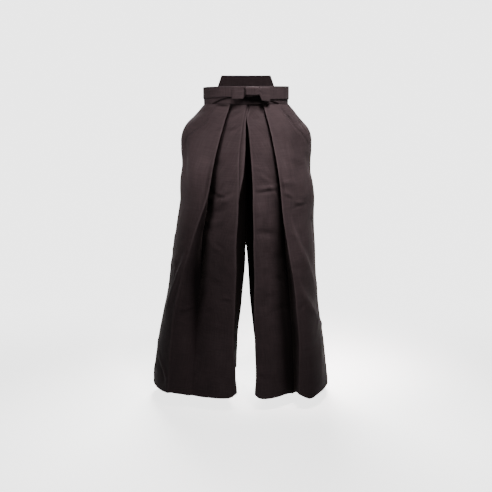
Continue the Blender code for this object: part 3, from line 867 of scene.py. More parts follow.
@dataclass
class Panel:
    """One panel of the legs: a sheet of cloth from the waist to the hem."""

    node: str
    hand: int  # 1 for the wearer's left and -1 for the right
    lines: LegLines
    furrows: tuple[Furrow, ...] = ()
    rumples: Rumples = field(default_factory=lambda: Rumples(1))
    hem_sags: tuple[Way, ...] = ()  # (out from the centre plane, how much lower the hem hangs)
    grid: Grid | None = None

    top = FRONT_TOP
    front = 1  # 1 for a front panel and -1 for a back panel
    outer_quads = 60
    under_quads = 18
    inner_quads = 32
    recess_quads = 20

    def stops_and_faces(self, z: float) -> tuple[list[Stop], list[Face]]:
        """The section's stops and faces at a height, with the front of the garment at negative y."""
        raise NotImplementedError

    def row_heights(self) -> Array:
        """The heights of the mesh's rows.

        Returns:
            The heights, with one at each place where the cut changes.
        """
        marks = [self.top, SLIT_END, CROTCH, GUSSET_TOP, HEM]
        rows = [self.top]
        for start, end in zip(marks[:-1], marks[1:]):
            steps = max(1, round((start - end) / ROW_STEP))
            rows += list(start + (end - start) * np.arange(1, steps + 1) / steps)
        return np.array(rows)

    def through(self, start: Array, end: Array) -> list[Face]:
        """Two faces of the recess that pass smoothly through a point between them.

        Args:
            start: where the first one starts.
            end: where the second one ends.

        Returns:
            The faces.
        """
        way = tuple(unit(end - start))
        half = self.recess_quads // 2
        return [
            Face(Stretch.RECESS, half, end_way=way, fullness=RECESS_FULLNESS),
            Face(Stretch.RECESS, half, start_way=way, fullness=RECESS_FULLNESS),
        ]

    def make_grid(self) -> Grid:
        """Skin the sections into a sheet.

        Returns:
            The sheet, in the form that its solid has.
        """
        heights = self.row_heights()
        rows = []
        for k, z in enumerate(heights):
            stops, faces = self.stops_and_faces(z)
            places = section(stops, faces)
            height = np.full(len(places), z if k else z - DRAWN_SEAM / 2)
            rows.append(np.column_stack((-self.hand * places[:, 0], self.front * places[:, 1], height)))
        points = np.array(rows)
        if self.hem_sags:
            sags = np.interp(points[..., 0] * self.hand, *zip(*self.hem_sags))
            points[..., 2] -= sags * smooth_share((HEM_SAG_TOP - points[..., 2]) / (HEM_SAG_TOP - HEM))
        stretches, tips = column_stretches([stop.turn for stop in stops], faces)
        return Grid(points, stretches, tips, heights, self.hand, self.hand * self.front)

    def crease(self) -> None:
        """Press the listed folds and the rumples into the sheet, fading out at its seams and folds."""
        grid = self.grid
        along, out, up = grid.along(), grid.points[..., 0] * self.hand, grid.points[..., 2]
        at_seams = smooth_share(along / SIDE_FADE) * smooth_share((along[:, -1:] - along) / CENTRE_FADE)
        at_top = smooth_share((self.top - 3 - up) / TOP_FADE)
        at_folds = smooth_share((grid.from_folds(Turn.RIDGE, Turn.VALLEY) - 1.5) / FOLD_FADE)
        exposed = np.isin(grid.stretches, [Stretch.OUTER.value, Stretch.INNER.value]).astype(float)
        under = (grid.stretches == Stretch.UNDER.value).astype(float)
        raised = self.rumples.heights(along, up) * (exposed + RUMPLED_UNDER * under)
        for furrow in self.furrows:
            raised = raised + furrow.heights(out, up) * (grid.stretches == furrow.on.value)
        raised = raised * at_seams * at_top * at_folds
        grid.points = drifted(grid.points + grid.normals() * raised[..., None])

    def worn_and_sheltered(self) -> Pair:
        """How far wear and painted highlight pale the cloth, and how far painted shade darkens it.

        Returns:
            How far each point is paled by wear and painted highlight on ridges and creases, and how much painted shade
            it gets in a fold.
        """
        grid = self.grid
        out, up = grid.points[..., 0] * self.hand, grid.points[..., 2]
        pressed = np.exp(-((grid.from_folds(Turn.RIDGE) / PRESSED_WIDTH) ** 2))
        wear_and_highlight, sheltered = pressed * smooth_share((self.top - up) / 30), grid.sheltered()
        for furrow in self.furrows:
            if furrow.wear_and_painted_light:
                shares = furrow.wear_and_painted_light_at(out, up) * (grid.stretches == furrow.on.value)
                wear_and_highlight, sheltered = np.maximum(wear_and_highlight, shares), np.maximum(sheltered, -shares)
        return wear_and_highlight, sheltered

    def hemmed(self) -> Array:
        """Where the hem or the slit's edge doubles the cloth.

        Returns:
            1 for each vertex there, and 0 elsewhere.
        """
        along, up = self.grid.along(), self.grid.points[..., 2]
        at_hem = smooth_share((HEM + HEM_DEPTH - up) / 3 + 0.5)
        at_slit = smooth_share((SLIT_HEM - along) / 2 + 0.5) * smooth_share((up - SLIT_END) / 4)
        at_centre = 0.5 * smooth_share((SEAM_ALLOWANCE - along[:, -1:] + along) / 3 + 0.5)
        return np.maximum(np.maximum(at_hem, at_slit), at_centre).ravel()

    def build(self, cloth: Material) -> Object:
        """Make the panel's piece.

        Args:
            cloth: its finish.

        Returns:
            The piece.
        """
        self.grid = self.make_grid()
        self.crease()
        obj = skinned(f"{self.node}_cloth", self.grid.points)
        for name, shares in zip(("pressed", "sheltered"), self.worn_and_sheltered()):
            share_of(obj, name, shares)
        thickened(obj, CLOTH, self.hemmed())
        return dressed(obj, cloth, "panel_cloth", self.node)


# Folds and rumples fade out over these distances beside the side, the centre seam, the top and the pleats.
SIDE_FADE, CENTRE_FADE, TOP_FADE, FOLD_FADE = 16.0, 30.0, 22.0, 9.0
RUMPLED_UNDER = 0.35  # how much of the rumples shows on the turned-under cloth
PRESSED_WIDTH = 3.0  # how far wear and painted highlight reach from a pleat's ridge
HEM_SAG_TOP = -800.0  # where the hem's sags begin
HEM_DEPTH = 34.0  # height of the hem that is turned up inside
SLIT_HEM = 11.0  # width of the hem along the side slit
SEAM_ALLOWANCE = 8.0  # width of the thicker cloth beside the centre and inner leg seams


@dataclass
class FrontPanel(Panel):
    """A front panel, with a deep pleat on the thigh and a small one at the centre of the wearer's right leg."""

    def stops_and_faces(self, z: float) -> tuple[list[Stop], list[Face]]:
        """The section's stops and faces at a height.

        Args:
            z: the height.

        Returns:
            The stops, and the faces between them.
        """
        lines = self.lines
        edge = across(lines.side.at(z))
        if z <= SLIT_END:
            edge[1] = SIDE_SEAM_Y - DRAWN_SEAM / 2
        ridge, valley, inner = lines.ridge.at(z), lines.valley.at(z), lines.inner.at(z)
        seam = across(FRONT_SEAM_LINE.at(z))
        if z <= CROTCH:
            seam[1] -= DRAWN_SEAM / 2
        stops = [
            Stop(edge),
            Stop(across(ridge), Turn.RIDGE),
            Stop(across(valley), Turn.VALLEY),
            Stop(across(inner), Turn.RIDGE),
        ]
        faces = [
            Face(Stretch.OUTER, self.outer_quads, SIDE_WAY, (1, ridge[2]), SIDE_FULLNESS, quarter_round=True),
            Face(Stretch.UNDER, self.under_quads),
            Face(Stretch.INNER, self.inner_quads, steep_way(valley[2]), (1, inner[2])),
        ]
        if lines.underfold:
            leaving, sinking = (steep_way(-angle) for angle in lines.underfold.at(z))
            faces[1] = Face(Stretch.UNDER, self.under_quads, leaving, sinking)
            faces[2] = Face(Stretch.INNER, self.inner_quads, faces[2].start_way, faces[2].end_way, DEEP_FULLNESS)
        if lines.centre_pleat:
            valley_line, ridge_line = lines.centre_pleat
            stops.append(Stop(across(valley_line.at(z)), Turn.VALLEY))
            stops.append(Stop(across(ridge_line.at(z)), Turn.RIDGE))
            faces += [Face(Stretch.PLEAT_UNDER, PLEAT_QUADS), Face(Stretch.PLEAT, PLEAT_QUADS)]
        faces += self.through(stops[-1].place, seam)
        stops += [Stop(across(lines.recess.at(z))), Stop(seam)]
        return stops, faces


@dataclass
class BackPanel(Panel):
    """A back panel, with one pleat down the seat and a deep fold at the centre."""

    top = BACK_TOP
    front = -1
    inner_quads = 30

    def stops_and_faces(self, z: float) -> tuple[list[Stop], list[Face]]:
        """The section's stops and faces at a height, with y counted backwards as negative.

        Args:
            z: the height.

        Returns:
            The stops, and the faces between them.
        """
        back = np.array([1, -1])
        edge = across(BACK_SLIT_LINE.at(z)) if z > SLIT_END else across(self.lines.side.at(z))
        if z <= SLIT_END:
            edge[1] = SIDE_SEAM_Y + DRAWN_SEAM / 2
        ridge, valley = BACK_RIDGE_LINE.at(z), BACK_VALLEY_LINE.at(z)
        inner_ridge = BACK_CENTRE_LINE.at(z)
        inner = across(inner_ridge) * back
        seam = across(BACK_SEAM_LINE.at(z))
        if z <= CROTCH:
            seam[1] += DRAWN_SEAM / 2
        stops = [
            Stop(edge * back),
            Stop(across(ridge) * back, Turn.RIDGE),
            Stop(across(valley) * back, Turn.VALLEY),
            Stop(inner, Turn.RIDGE),
            Stop(across(BACK_RECESS_LINE.at(z)) * back),
            Stop(seam * back),
        ]
        faces = [
            Face(Stretch.OUTER, self.outer_quads, SIDE_WAY, (1, ridge[2]), SIDE_FULLNESS, quarter_round=True),
            Face(Stretch.UNDER, self.under_quads),
            Face(Stretch.INNER, self.inner_quads, steep_way(valley[2]), (1, inner_ridge[2])),
            *self.through(inner, seam * back),
        ]
        return stops, faces


@dataclass
class Gusset:
    """The gusset: a long diamond folded over the crotch, with a point down the inside of each leg."""

    node: str = "crotch_gusset"
    rows: int = 30
    columns: int = 15
    bottom: float = -608.0

    def build(self, cloth: Material) -> Object:
        """Make the gusset's piece.

        Args:
            cloth: its finish.

        Returns:
            The piece.
        """
        leg = []
        for z in np.linspace(self.bottom, GUSSET_TOP, self.rows):
            front, back = FRONT_SEAM_LINE.at(z), BACK_SEAM_LINE.at(z)
            span = np.linspace(front[1] + GUSSET_GAP, back[1] - GUSSET_GAP, self.columns)
            leg.append(np.column_stack((np.full(self.columns, front[0]), span, np.full(self.columns, z))))
        top_out, top_y, top_z = leg[-1].T
        saddle = []
        for angle in np.radians(np.arange(15, 91, 15)):
            saddle.append(np.column_stack((top_out * math.cos(angle), top_y, top_z + top_out * math.sin(angle))))
        one_side = np.array(leg + saddle)
        other_side = (one_side * (-1, 1, 1))[-2::-1]
        obj = skinned(f"{self.node}_cloth", drifted(np.concatenate((one_side, other_side))))
        thickened(obj, CLOTH)
        return dressed(obj, cloth, "panel_cloth", self.node)


def waist_place(angle: float, out: float) -> Way:
    """A plan point of a layer that goes round the waist.

    Args:
        angle: in degrees from the middle of the front.
        out: how far the layer is out from the waist.

    Returns:
        Its x and y.
    """
    turn = math.radians(angle)
    depth = WAIST_FRONT if math.cos(turn) > 0 else WAIST_BACK
    return (WAIST_HALF_WIDTH + out) * math.sin(turn), -(depth + out) * math.cos(turn)


def flip_if_inside_out(obj: Object) -> None:
    """Turn a closed mesh's faces outwards.

    Args:
        obj: the mesh's object.
    """
    mesh = obj.data
    mesh.calc_loop_triangles()
    corners = np.array([[mesh.vertices[v].co for v in tri.vertices] for tri in mesh.loop_triangles])
    volume = np.einsum("ij,ij->", corners[:, 0], np.cross(corners[:, 1], corners[:, 2]))
    if volume < 0:
        mesh.flip_normals()


@dataclass
class Strip:
    """A strip of several layers of cloth, with folded edges, on its edge along a path in plan."""

    node: str
    plan: Array  # places (x, y) along the path
    low: Array  # height of the lower edge at each place
    high: Array
    thickness: float = TIE
    closed: bool = False
    hollows: Relief | None = None  # in mm
    shelter: Relief | None = None  # painted shade: 1 in a deep crease or gap
    slot: str = "tie_cloth"
    face_quads: int = 10
    edge_quads: int = 4

    def lengths(self) -> Array:
        """How far each place is along the path."""
        return run_lengths(self.plan)

    def plan_normals(self) -> Array:
        """The directions out of the garment in plan.

        Returns:
            One for each place of the path, to the right of it.
        """
        if self.closed:
            way = np.roll(self.plan, -1, axis=0) - np.roll(self.plan, 1, axis=0)
        else:
            way = np.gradient(self.plan, axis=0)
        normal = np.column_stack((way[:, 1], -way[:, 0]))
        return normal / np.linalg.norm(normal, axis=1, keepdims=True)

    def ring(self, height: float) -> list[Way]:
        """Points round the strip's section: two faces and two folded edges.

        Args:
            height: the strip's height there.

        Returns:
            The points as (out, up) from its middle.
        """
        r = self.thickness / 2
        reach = height / 2 - r
        ups = np.linspace(-reach, reach, self.face_quads + 1)
        turns = np.linspace(0, math.pi, self.edge_quads + 1)[1:-1]
        points = [(r, up) for up in ups]
        points += [(r * math.cos(t), reach + r * math.sin(t)) for t in turns]
        points += [(-r, up) for up in ups[::-1]]
        points += [(-r * math.cos(t), -reach - r * math.sin(t)) for t in turns]
        return points

    def surface(self, along: float, share: float) -> Pair:
        """A point on the strip's outer face and the normal there.

        Args:
            along: distance along the path.
            share: 0 at the lower edge and 1 at the upper one.

        Returns:
            The point and the normal.
        """
        lengths, normals = self.lengths(), self.plan_normals()
        x, y = (np.interp(along, lengths, self.plan[:, k]) for k in (0, 1))
        n = np.array([np.interp(along, lengths, normals[:, k]) for k in (0, 1)])
        low, high = np.interp(along, lengths, self.low), np.interp(along, lengths, self.high)
        out = self.thickness / 2
        if self.hollows:
            out += float(self.hollows(np.array([along]), np.array([share]))[0])
        return np.array([x + n[0] * out, y + n[1] * out, low + share * (high - low)]), np.array([*n, 0.0])

    def build(self, cloth: Material) -> Object:
        """Make the strip's piece.

        Args:
            cloth: its finish.

        Returns:
            The piece.
        """
        lengths, normals = self.lengths(), self.plan_normals()
        columns, shades = [], []
        for k, (x, y) in enumerate(self.plan):
            height, middle = self.high[k] - self.low[k], (self.high[k] + self.low[k]) / 2
            ring = np.array(self.ring(height))
            out = ring[:, 0].copy()
            share = np.clip(ring[:, 1] / height + 0.5, 0, 1)
            if self.hollows:
                out += self.hollows(np.full(len(ring), lengths[k]), share)
            if self.shelter:
                shades.append(self.shelter(np.full(len(ring), lengths[k]), share))
            columns.append(np.column_stack((x + normals[k, 0] * out, y + normals[k, 1] * out, middle + ring[:, 1])))
        points = np.array(columns).transpose(1, 0, 2)
        name = f"{self.node}_cloth"
        obj = skinned(name, points, wraps_down=True, wraps_across=self.closed, caps=not self.closed)
        # Painted shade in the strip's creases and gaps.
        if self.shelter:
            share_of(obj, "sheltered", np.array(shades).T)
        flip_if_inside_out(obj)
        choose(obj)
        bpy.ops.object.shade_smooth_by_angle(angle=math.radians(60))
        return dressed(obj, cloth, self.slot, self.node)


LONGEST_STRIP = 780.0


def slack(seed: int, height: float, waves: int = 14) -> Relief:
    """The uneven slack of a strip that is wound by hand.

    Args:
        seed: for its random places.
        height: the deepest hollow, in millimetres.
        waves: how many hollows there are.

    Returns:
        A function of the distance along the strip and the share up it, giving the distance outwards.
    """
    rng = np.random.default_rng(seed)
    places, reach = rng.uniform(0, LONGEST_STRIP, waves), rng.uniform(9, 34, waves)
    tilt, size = rng.uniform(-28, 28, waves), rng.uniform(-1, 1, waves)

    def hollows(along: Array, share: Array) -> Array:
        """How far out each place on the strip lies.

        Args:
            along: distance along the strip.
            share: 0 at the lower edge and 1 at the upper one.

        Returns:
            The distances.
        """
        moved = np.zeros(np.shape(along))
        for place, wide, lean, deep in zip(places, reach, tilt, size):
            moved = moved + deep * np.exp(-(((along - place + lean * (share - 0.5)) / wide) ** 2))
        return np.clip(moved, -1, 1) * height * np.sin(math.pi * np.clip(share, 0.04, 0.96))

    return hollows


def wound(node: str, angles: Way, out: float, edges: Table, **more) -> Strip:
    """A strip that goes round the waist.

    Args:
        node: the solid that it stands for.
        angles: where it starts and ends, in degrees from the middle of the front.
        out: how far its middle is out from the waist.
        edges: rows of (angle, low, high).
        more: the strip's other fields.

    Returns:
        The strip.
    """
    closed = angles[1] - angles[0] >= 360
    count = round((angles[1] - angles[0]) / 2.0) + 1
    turns = np.linspace(*angles, count)
    turns = turns[:-1] if closed else turns
    line = Line(edges)
    low, high = np.array([line.at(turn) for turn in turns]).T
    plan = np.array([waist_place(turn, out) for turn in turns])
    return Strip(node, plan, low, high, closed=closed, **more)


KNOT_SHADE_TOP = -7.5  # height on the knot, from its middle, below which it turns under and is darkened with painted shade
KNOT_SHADE_DEPTH = 7.0
KNOT_PINCH = 0.035  # how much lower and thinner it is at its ends
KNOT_LEAN = 2.4  # how far its folds turn from its top to its bottom, in radians
KNOT_FOLDS = ((0.55, 4.6 * math.pi, 1.0), (0.35, 7.3, -1.7))  # (depth, how close together, how far they lean)
KNOT_HIDES = 17.0  # how far to each side the knot hides the bar
BAR_SHADE, BAR_SHADE_WIDTH = -23.4, 2.6  # painted shade in the crease beside the knot
BAR_PULLS = ((5.0, -24.0, 3.2), (1.6, 24.0, 3.0))  # where it pulls the bar in: (depth, place, width)


@dataclass
class Bow:
    """The flat bow of the back ties: a bar of folded tie in three layers, held by a knot."""

    bar_node: str = "bow_bar"
    knot_node: str = "bow_knot"
    gathers: int = 3  # folds that run out from the knot
    gather_depth: float = 1.1
    gather_reach: float = 21.0  # how far from the knot they fade

    def place(self, along: float, out: float) -> Way:
        """The plan point on a layer of the bow, at a distance along it from the knot's middle."""
        return waist_place(KNOT_ANGLE + math.degrees(along / (WAIST_HALF_WIDTH + KNOT_FRONT_OUT)), out)

    def half_turn(self, along: float, out: float, way: int, steps: int = 10) -> list[Way]:
        """The bar's fold round a centre, from its back layer to its front one, on the side way."""
        turns = [math.pi * k / steps for k in range(steps + 1)]
        return [(along + way * BAR_FOLD * math.sin(t), out - BAR_FOLD * math.cos(t)) for t in turns]

    def bar(self) -> Strip:
        """The folded bar.

        Returns:
            One strip from its hidden end round to its front end.
        """
        right_end, left_end = -BAR_REACH_RIGHT + BAR_FOLD, BAR_REACH_LEFT - BAR_FOLD
        back, middle, front = (BAR_BACK_OUT + 2 * BAR_FOLD * k for k in range(3))
        path = [(along, back) for along in np.linspace(BAR_TUCK, right_end, 34)[:-1]]
        path += self.half_turn(right_end, (back + middle) / 2, -1)
        path += [(along, middle) for along in np.linspace(right_end, left_end, 58)[1:-1]]
        path += self.half_turn(left_end, (middle + front) / 2, 1)
        path += [(along, front) for along in np.linspace(left_end, -BAR_TUCK, 34)[1:]]
        edges = Line(BAR_EDGES)
        low, high = np.array([edges.at(along) for along, _ in path]).T
        plan = np.array([self.place(along, out) for along, out in path])
        strip = Strip(self.bar_node, plan, low, high)
        reach, lengths = [along for along, _ in path], strip.lengths()
        phases = np.random.default_rng(11).uniform(0.6, 1.4, self.gathers)

        def from_middle(along: Array) -> Array:
            """How far each place along the strip is from the knot's middle, towards the wearer's left."""
            return np.interp(along, lengths, reach)

        def hollows(along: Array, share: Array) -> Array:
            """How far the gathers and the knot's pull move each place outwards.

            Args:
                along: distance along the strip.
                share: 0 at the lower edge and 1 at the upper one.

            Returns:
                The distances.
            """
            place = from_middle(along)
            near = np.exp(-((np.clip(np.abs(place) - KNOT_HIDES, 0, None) / self.gather_reach) ** 2))
            wave = sum(
                phase * np.sin(2 * math.pi * (k + 1) * share * 0.9 + phase * 2.3 * k)
                for k, phase in enumerate(phases)
            )
            drawn_in = sum(deep * np.exp(-(((place - at) / wide) ** 2)) for deep, at, wide in BAR_PULLS)
            folds = self.gather_depth * 0.4 * near * wave * np.sin(math.pi * np.clip(share, 0.03, 0.97))
            return folds - 0.35 * drawn_in * (along > lengths[-1] * 0.3)

        strip.hollows = hollows
        # Painted shade in the crease beside the knot.
        strip.shelter = lambda along, share: np.exp(-(((from_middle(along) - BAR_SHADE) / BAR_SHADE_WIDTH) ** 2))
        return strip

    def knot_outline(self, steps: int = 7) -> list[Way]:
        """Points round the knot's section.

        Args:
            steps: how many quads each corner has.

        Returns:
            The points as (out, height).
        """
        height, points = KNOT_HEIGHT - TIE, []
        left, right, corner = KNOT_BACK_OUT, KNOT_FRONT_OUT, KNOT_CORNER
        for quarter, (x, z) in enumerate(((right, 1), (left, 1), (left, -1), (right, -1))):
            inward = corner if x == left else -corner
            for k in range(steps + 1):
                turn = math.pi / 2 * (quarter + k / steps)
                up = z * (height / 2 - corner) + corner * math.sin(turn)
                points.append((x + inward + corner * math.cos(turn), up))
        return points

    def knot(self, cloth: Material) -> Object:
        """Make the knot: the tie wrapped round the bar, a little gathered.

        Args:
            cloth: its finish.

        Returns:
            The piece.
        """
        outline = np.array(self.knot_outline())
        places = []
        for start, end in zip(outline, np.roll(outline, -1, axis=0)):
            pieces = max(1, round(np.linalg.norm(end - start) / 2.2))
            places += [start + (end - start) * k / pieces for k in range(pieces)]
        middle = (KNOT_BACK_OUT + KNOT_FRONT_OUT) / 2
        rows = []
        for share in np.linspace(-1, 1, 27):
            crown, pinch = KNOT_BULGE * (1 - share**2), 1 - KNOT_PINCH * share**2
            row = []
            for out, height in places:
                outer = (out - KNOT_BACK_OUT) / (KNOT_FRONT_OUT - KNOT_BACK_OUT)
                lean = KNOT_LEAN * height / KNOT_HEIGHT
                fold = sum(deep * math.cos(turns * share + tilt * lean) for deep, turns, tilt in KNOT_FOLDS)
                fold *= smooth_share(outer) * (1 - 0.75 * share**4) * 0.8
                x, y = self.place(share * KNOT_WIDTH / 2, middle + (out - middle) * pinch + crown * outer + fold)
                row.append((x, y, KNOT_MIDDLE + height * (pinch + crown / KNOT_HEIGHT)))
            rows.append(row)
        obj = skinned(f"{self.knot_node}_cloth", np.array(rows), wraps_across=True)
        # Painted shade on the knot's underside, where it turns under.
        below = smooth_share((KNOT_SHADE_TOP - np.array([height for _, height in places])) / KNOT_SHADE_DEPTH)
        share_of(obj, "sheltered", np.tile(below, len(rows)))
        thickened(obj, TIE)
        return dressed(obj, cloth, "tie_cloth", self.knot_node)


def board_half(share: float) -> float:
    """Half the board's width at a share of its height."""
    return BOARD_HALF_BOTTOM + (BOARD_HALF_TOP - BOARD_HALF_BOTTOM) * share


@dataclass
class BackBoard:
    """The stiff board that stands above the back panels, covered in the same cloth."""

    node: str = "back_board"
    columns: int = 44
    rows: int = 16
    edge: float = 2.0  # radius of its rounded edges
    pillow: float = 0.35  # how much fuller the cover is in the middle
    groove: float = 0.5  # how deep its stitches pull it in
    groove_width: float = 1.3

    def build(self, cloth: Material) -> Object:
        """Model the board from a grid: tapered towards its top, bent round the back, and given its thickness.

        Args:
            cloth: its finish.

        Returns:
            The piece.
        """
        low = BACK_TOP + SEAM / 2
        bpy.ops.object.select_all(action="DESELECT")
        bpy.ops.mesh.primitive_grid_add(
            x_subdivisions=self.columns, y_subdivisions=self.rows, size=2, calc_uvs=True,
            location=(0, 0, 0), rotation=(0, 0, 0),
        )
        obj = bpy.context.object
        obj.name = f"{self.node}_cover"
        obj.data.name = obj.name
        for vertex in obj.data.vertices:
            share = (vertex.co.y + 1) / 2
            x = vertex.co.x * board_half(share)
            vertex.co = Vector((x, BOARD_MIDDLE_Y - BOARD_BEND * x * x, low + (BOARD_TOP - low) * share)) * MM
        uv = obj.data.uv_layers.active
        uv.name = "Cloth"
        for loop in obj.data.loops:
            place = obj.data.vertices[loop.vertex_index].co
            uv.data[loop.index].uv = (place.x, place.z)
        wall = obj.modifiers.new("Board", "SOLIDIFY")
        wall.thickness, wall.offset, wall.use_even_offset = BOARD * MM, 0.0, True
        rounding = obj.modifiers.new("Edge", "BEVEL")
        rounding.width, rounding.segments, rounding.limit_method = self.edge * MM, 4, "ANGLE"
        choose(obj)
        for modifier in (wall, rounding):
            bpy.ops.object.modifier_apply(modifier=modifier.name)
        bpy.ops.object.mode_set(mode="EDIT")
        bpy.ops.mesh.select_all(action="SELECT")
        bpy.ops.mesh.normals_make_consistent(inside=False)
        bpy.ops.object.mode_set(mode="OBJECT")
        bpy.ops.object.shade_smooth_by_angle(angle=math.radians(50))
        self.fill_out(obj)
        return dressed(obj, cloth, "board_cloth", self.node)

    def fill_out(self, obj: Object) -> None:
        """Pull the cover down along the quilting line near the board's edges, and fill it between them.

        Args:
            obj: the board.
        """
        for vertex in obj.data.vertices:
            place, normal = vertex.co / MM, vertex.normal
            if abs(normal.y) < 0.7:
                continue
            up = (place.z - BACK_TOP) / (BOARD_TOP - BACK_TOP)
            from_edge = min(board_half(up) - abs(place.x), BOARD_TOP - place.z, place.z - BACK_TOP)
            pull = self.groove * math.exp(-(((from_edge - BOARD_STITCH_IN) / self.groove_width) ** 2))
            full = self.pillow * smooth_share((from_edge - BOARD_STITCH_IN) / 14)
            vertex.co += normal * (full - pull) * MM


BOARD_STITCH_IN = 6.5  # the board's edge stitching, from its edge


@dataclass(frozen=True)
class Seamline:
    """A line of stitches on the cloth: places in millimetres, and the normals there."""

    points: Array
    normals: Array
    stitch: float = 3.0
    gap: float = 1.2

    @classmethod
    def through(cls, found: list[Pair], lift: float, *thread: float) -> "Seamline":
        """A line through (point, normal) pairs, lifted this far, with its stitch and gap if they differ."""
        points, normals = (np.array(values) for values in zip(*found))
        return cls(points + normals * lift, normals, *thread)


def dense(path: Array, step: float) -> Array:
    """Places along a path at steps of about this length, with its own points among them."""
    legs = zip(path[:-1], path[1:])
    return np.concatenate([np.linspace(a, b, max(2, round(np.linalg.norm(b - a) / step)))[:-1] for a, b in legs])


@dataclass
class Sewing:
    """The thread that shows. One stitch is modelled, and copied along every line."""

    width: float = 0.55
    height: float = 0.42
    sunk: float = 0.08
    straight: float = 0.62  # the share of a stitch that lies straight
    dip: float = 0.35  # how far its ends dip, as a share of its height

    def stitch_shape(self) -> tuple[Array, list[list[int]]]:
        """Model one stitch, one long: a thread that dips into the cloth at both ends.

        Returns:
            Its points, and its faces as lists of their indices.
        """
        bpy.ops.object.select_all(action="DESELECT")
        bpy.ops.mesh.primitive_cylinder_add(
            vertices=5, radius=0.5, depth=self.straight, end_fill_type="TRIFAN", location=(0, 0, 0),
            rotation=(0, math.pi / 2, 0),
        )
        obj = bpy.context.object
        bpy.ops.object.transform_apply(location=False, rotation=True, scale=False)
        bpy.ops.object.mode_set(mode="EDIT")
        for way in (-1, 1):
            bpy.ops.mesh.select_all(action="DESELECT")
            bpy.ops.object.mode_set(mode="OBJECT")
            for vertex in obj.data.vertices:
                vertex.select = abs(vertex.co.x - self.straight / 2 * way) < 1e-4 and abs(vertex.co.yz.length) < 1e-3
            bpy.ops.object.mode_set(mode="EDIT")
            bpy.ops.transform.translate(value=((1 - self.straight) / 2 * way, 0, -self.dip))
        bpy.ops.object.mode_set(mode="OBJECT")
        points = np.array([vertex.co[:] for vertex in obj.data.vertices])
        faces = [list(polygon.vertices) for polygon in obj.data.polygons]
        bpy.data.objects.remove(obj)
        return points, faces

    def sewn(self, name: str, lines: Sequence[Seamline], thread: Material, slot: str) -> Object:
        """Make one piece of all the stitches along some lines.

        Args:
            name: the piece's name.
            lines: where the stitches run.
            thread: their finish.
            slot: not used.

        Returns:
            The piece.
        """
        shape, shape_faces = self.stitch_shape()
        points, faces, count = [], [], 0
        for line in lines:
            lengths = run_lengths(line.points)
            pitch = line.stitch + line.gap
            for middle in np.arange(pitch / 2, lengths[-1] - line.stitch / 2, pitch):
                start, end, centre, normal = (
                    np.array([np.interp(at, lengths, values[:, k]) for k in range(3)])
                    for at, values in (
                        (middle - line.stitch / 2, line.points), (middle + line.stitch / 2, line.points),
                        (middle, line.points), (middle, line.normals),
                    )
                )
                way = (end - start) / max(np.linalg.norm(end - start), 1e-6)
                beside = np.cross(normal, way)
                beside /= np.linalg.norm(beside)
                out = np.cross(way, beside)
                centre = centre + out * (self.height * 0.5 - self.sunk)
                points.append(
                    centre
                    + shape[:, :1] * line.stitch * way
                    + shape[:, 1:2] * self.width * beside
                    + shape[:, 2:] * self.height * out
                )
                faces += [[index + count for index in face] for face in shape_faces]
                count += len(shape)
        mesh = bpy.data.meshes.new(name)
        mesh.from_pydata((np.concatenate(points) * MM).tolist(), [], faces)
        return dressed(linked(name, mesh), thread, slot)


RIGHT_LINES = LegLines(
    *map(Line, (SIDE_RIGHT, OUTER_RIDGE_RIGHT, OUTER_VALLEY_RIGHT, INNER_RIDGE_RIGHT, RECESS_RIGHT)),
    Line(UNDERFOLD_RIGHT), (Line(CENTRE_VALLEY_RIGHT), Line(CENTRE_RIDGE_RIGHT)),
)
LEFT_LINES = LegLines(
    *map(Line, (SIDE_LEFT, OUTER_RIDGE_LEFT, OUTER_VALLEY_LEFT, INNER_RIDGE_LEFT, RECESS_LEFT))
)
SOFT, PRESSED = FoldShape.SOFT, FoldShape.PRESSED


def furrows(on: Stretch, *rows: tuple) -> tuple[Furrow, ...]:
    """Folds on one stretch of a panel, from rows of (height, width, path, and the last fields if they differ)."""
    return tuple(Furrow(path, height, width, on, *more) for height, width, path, *more in rows)


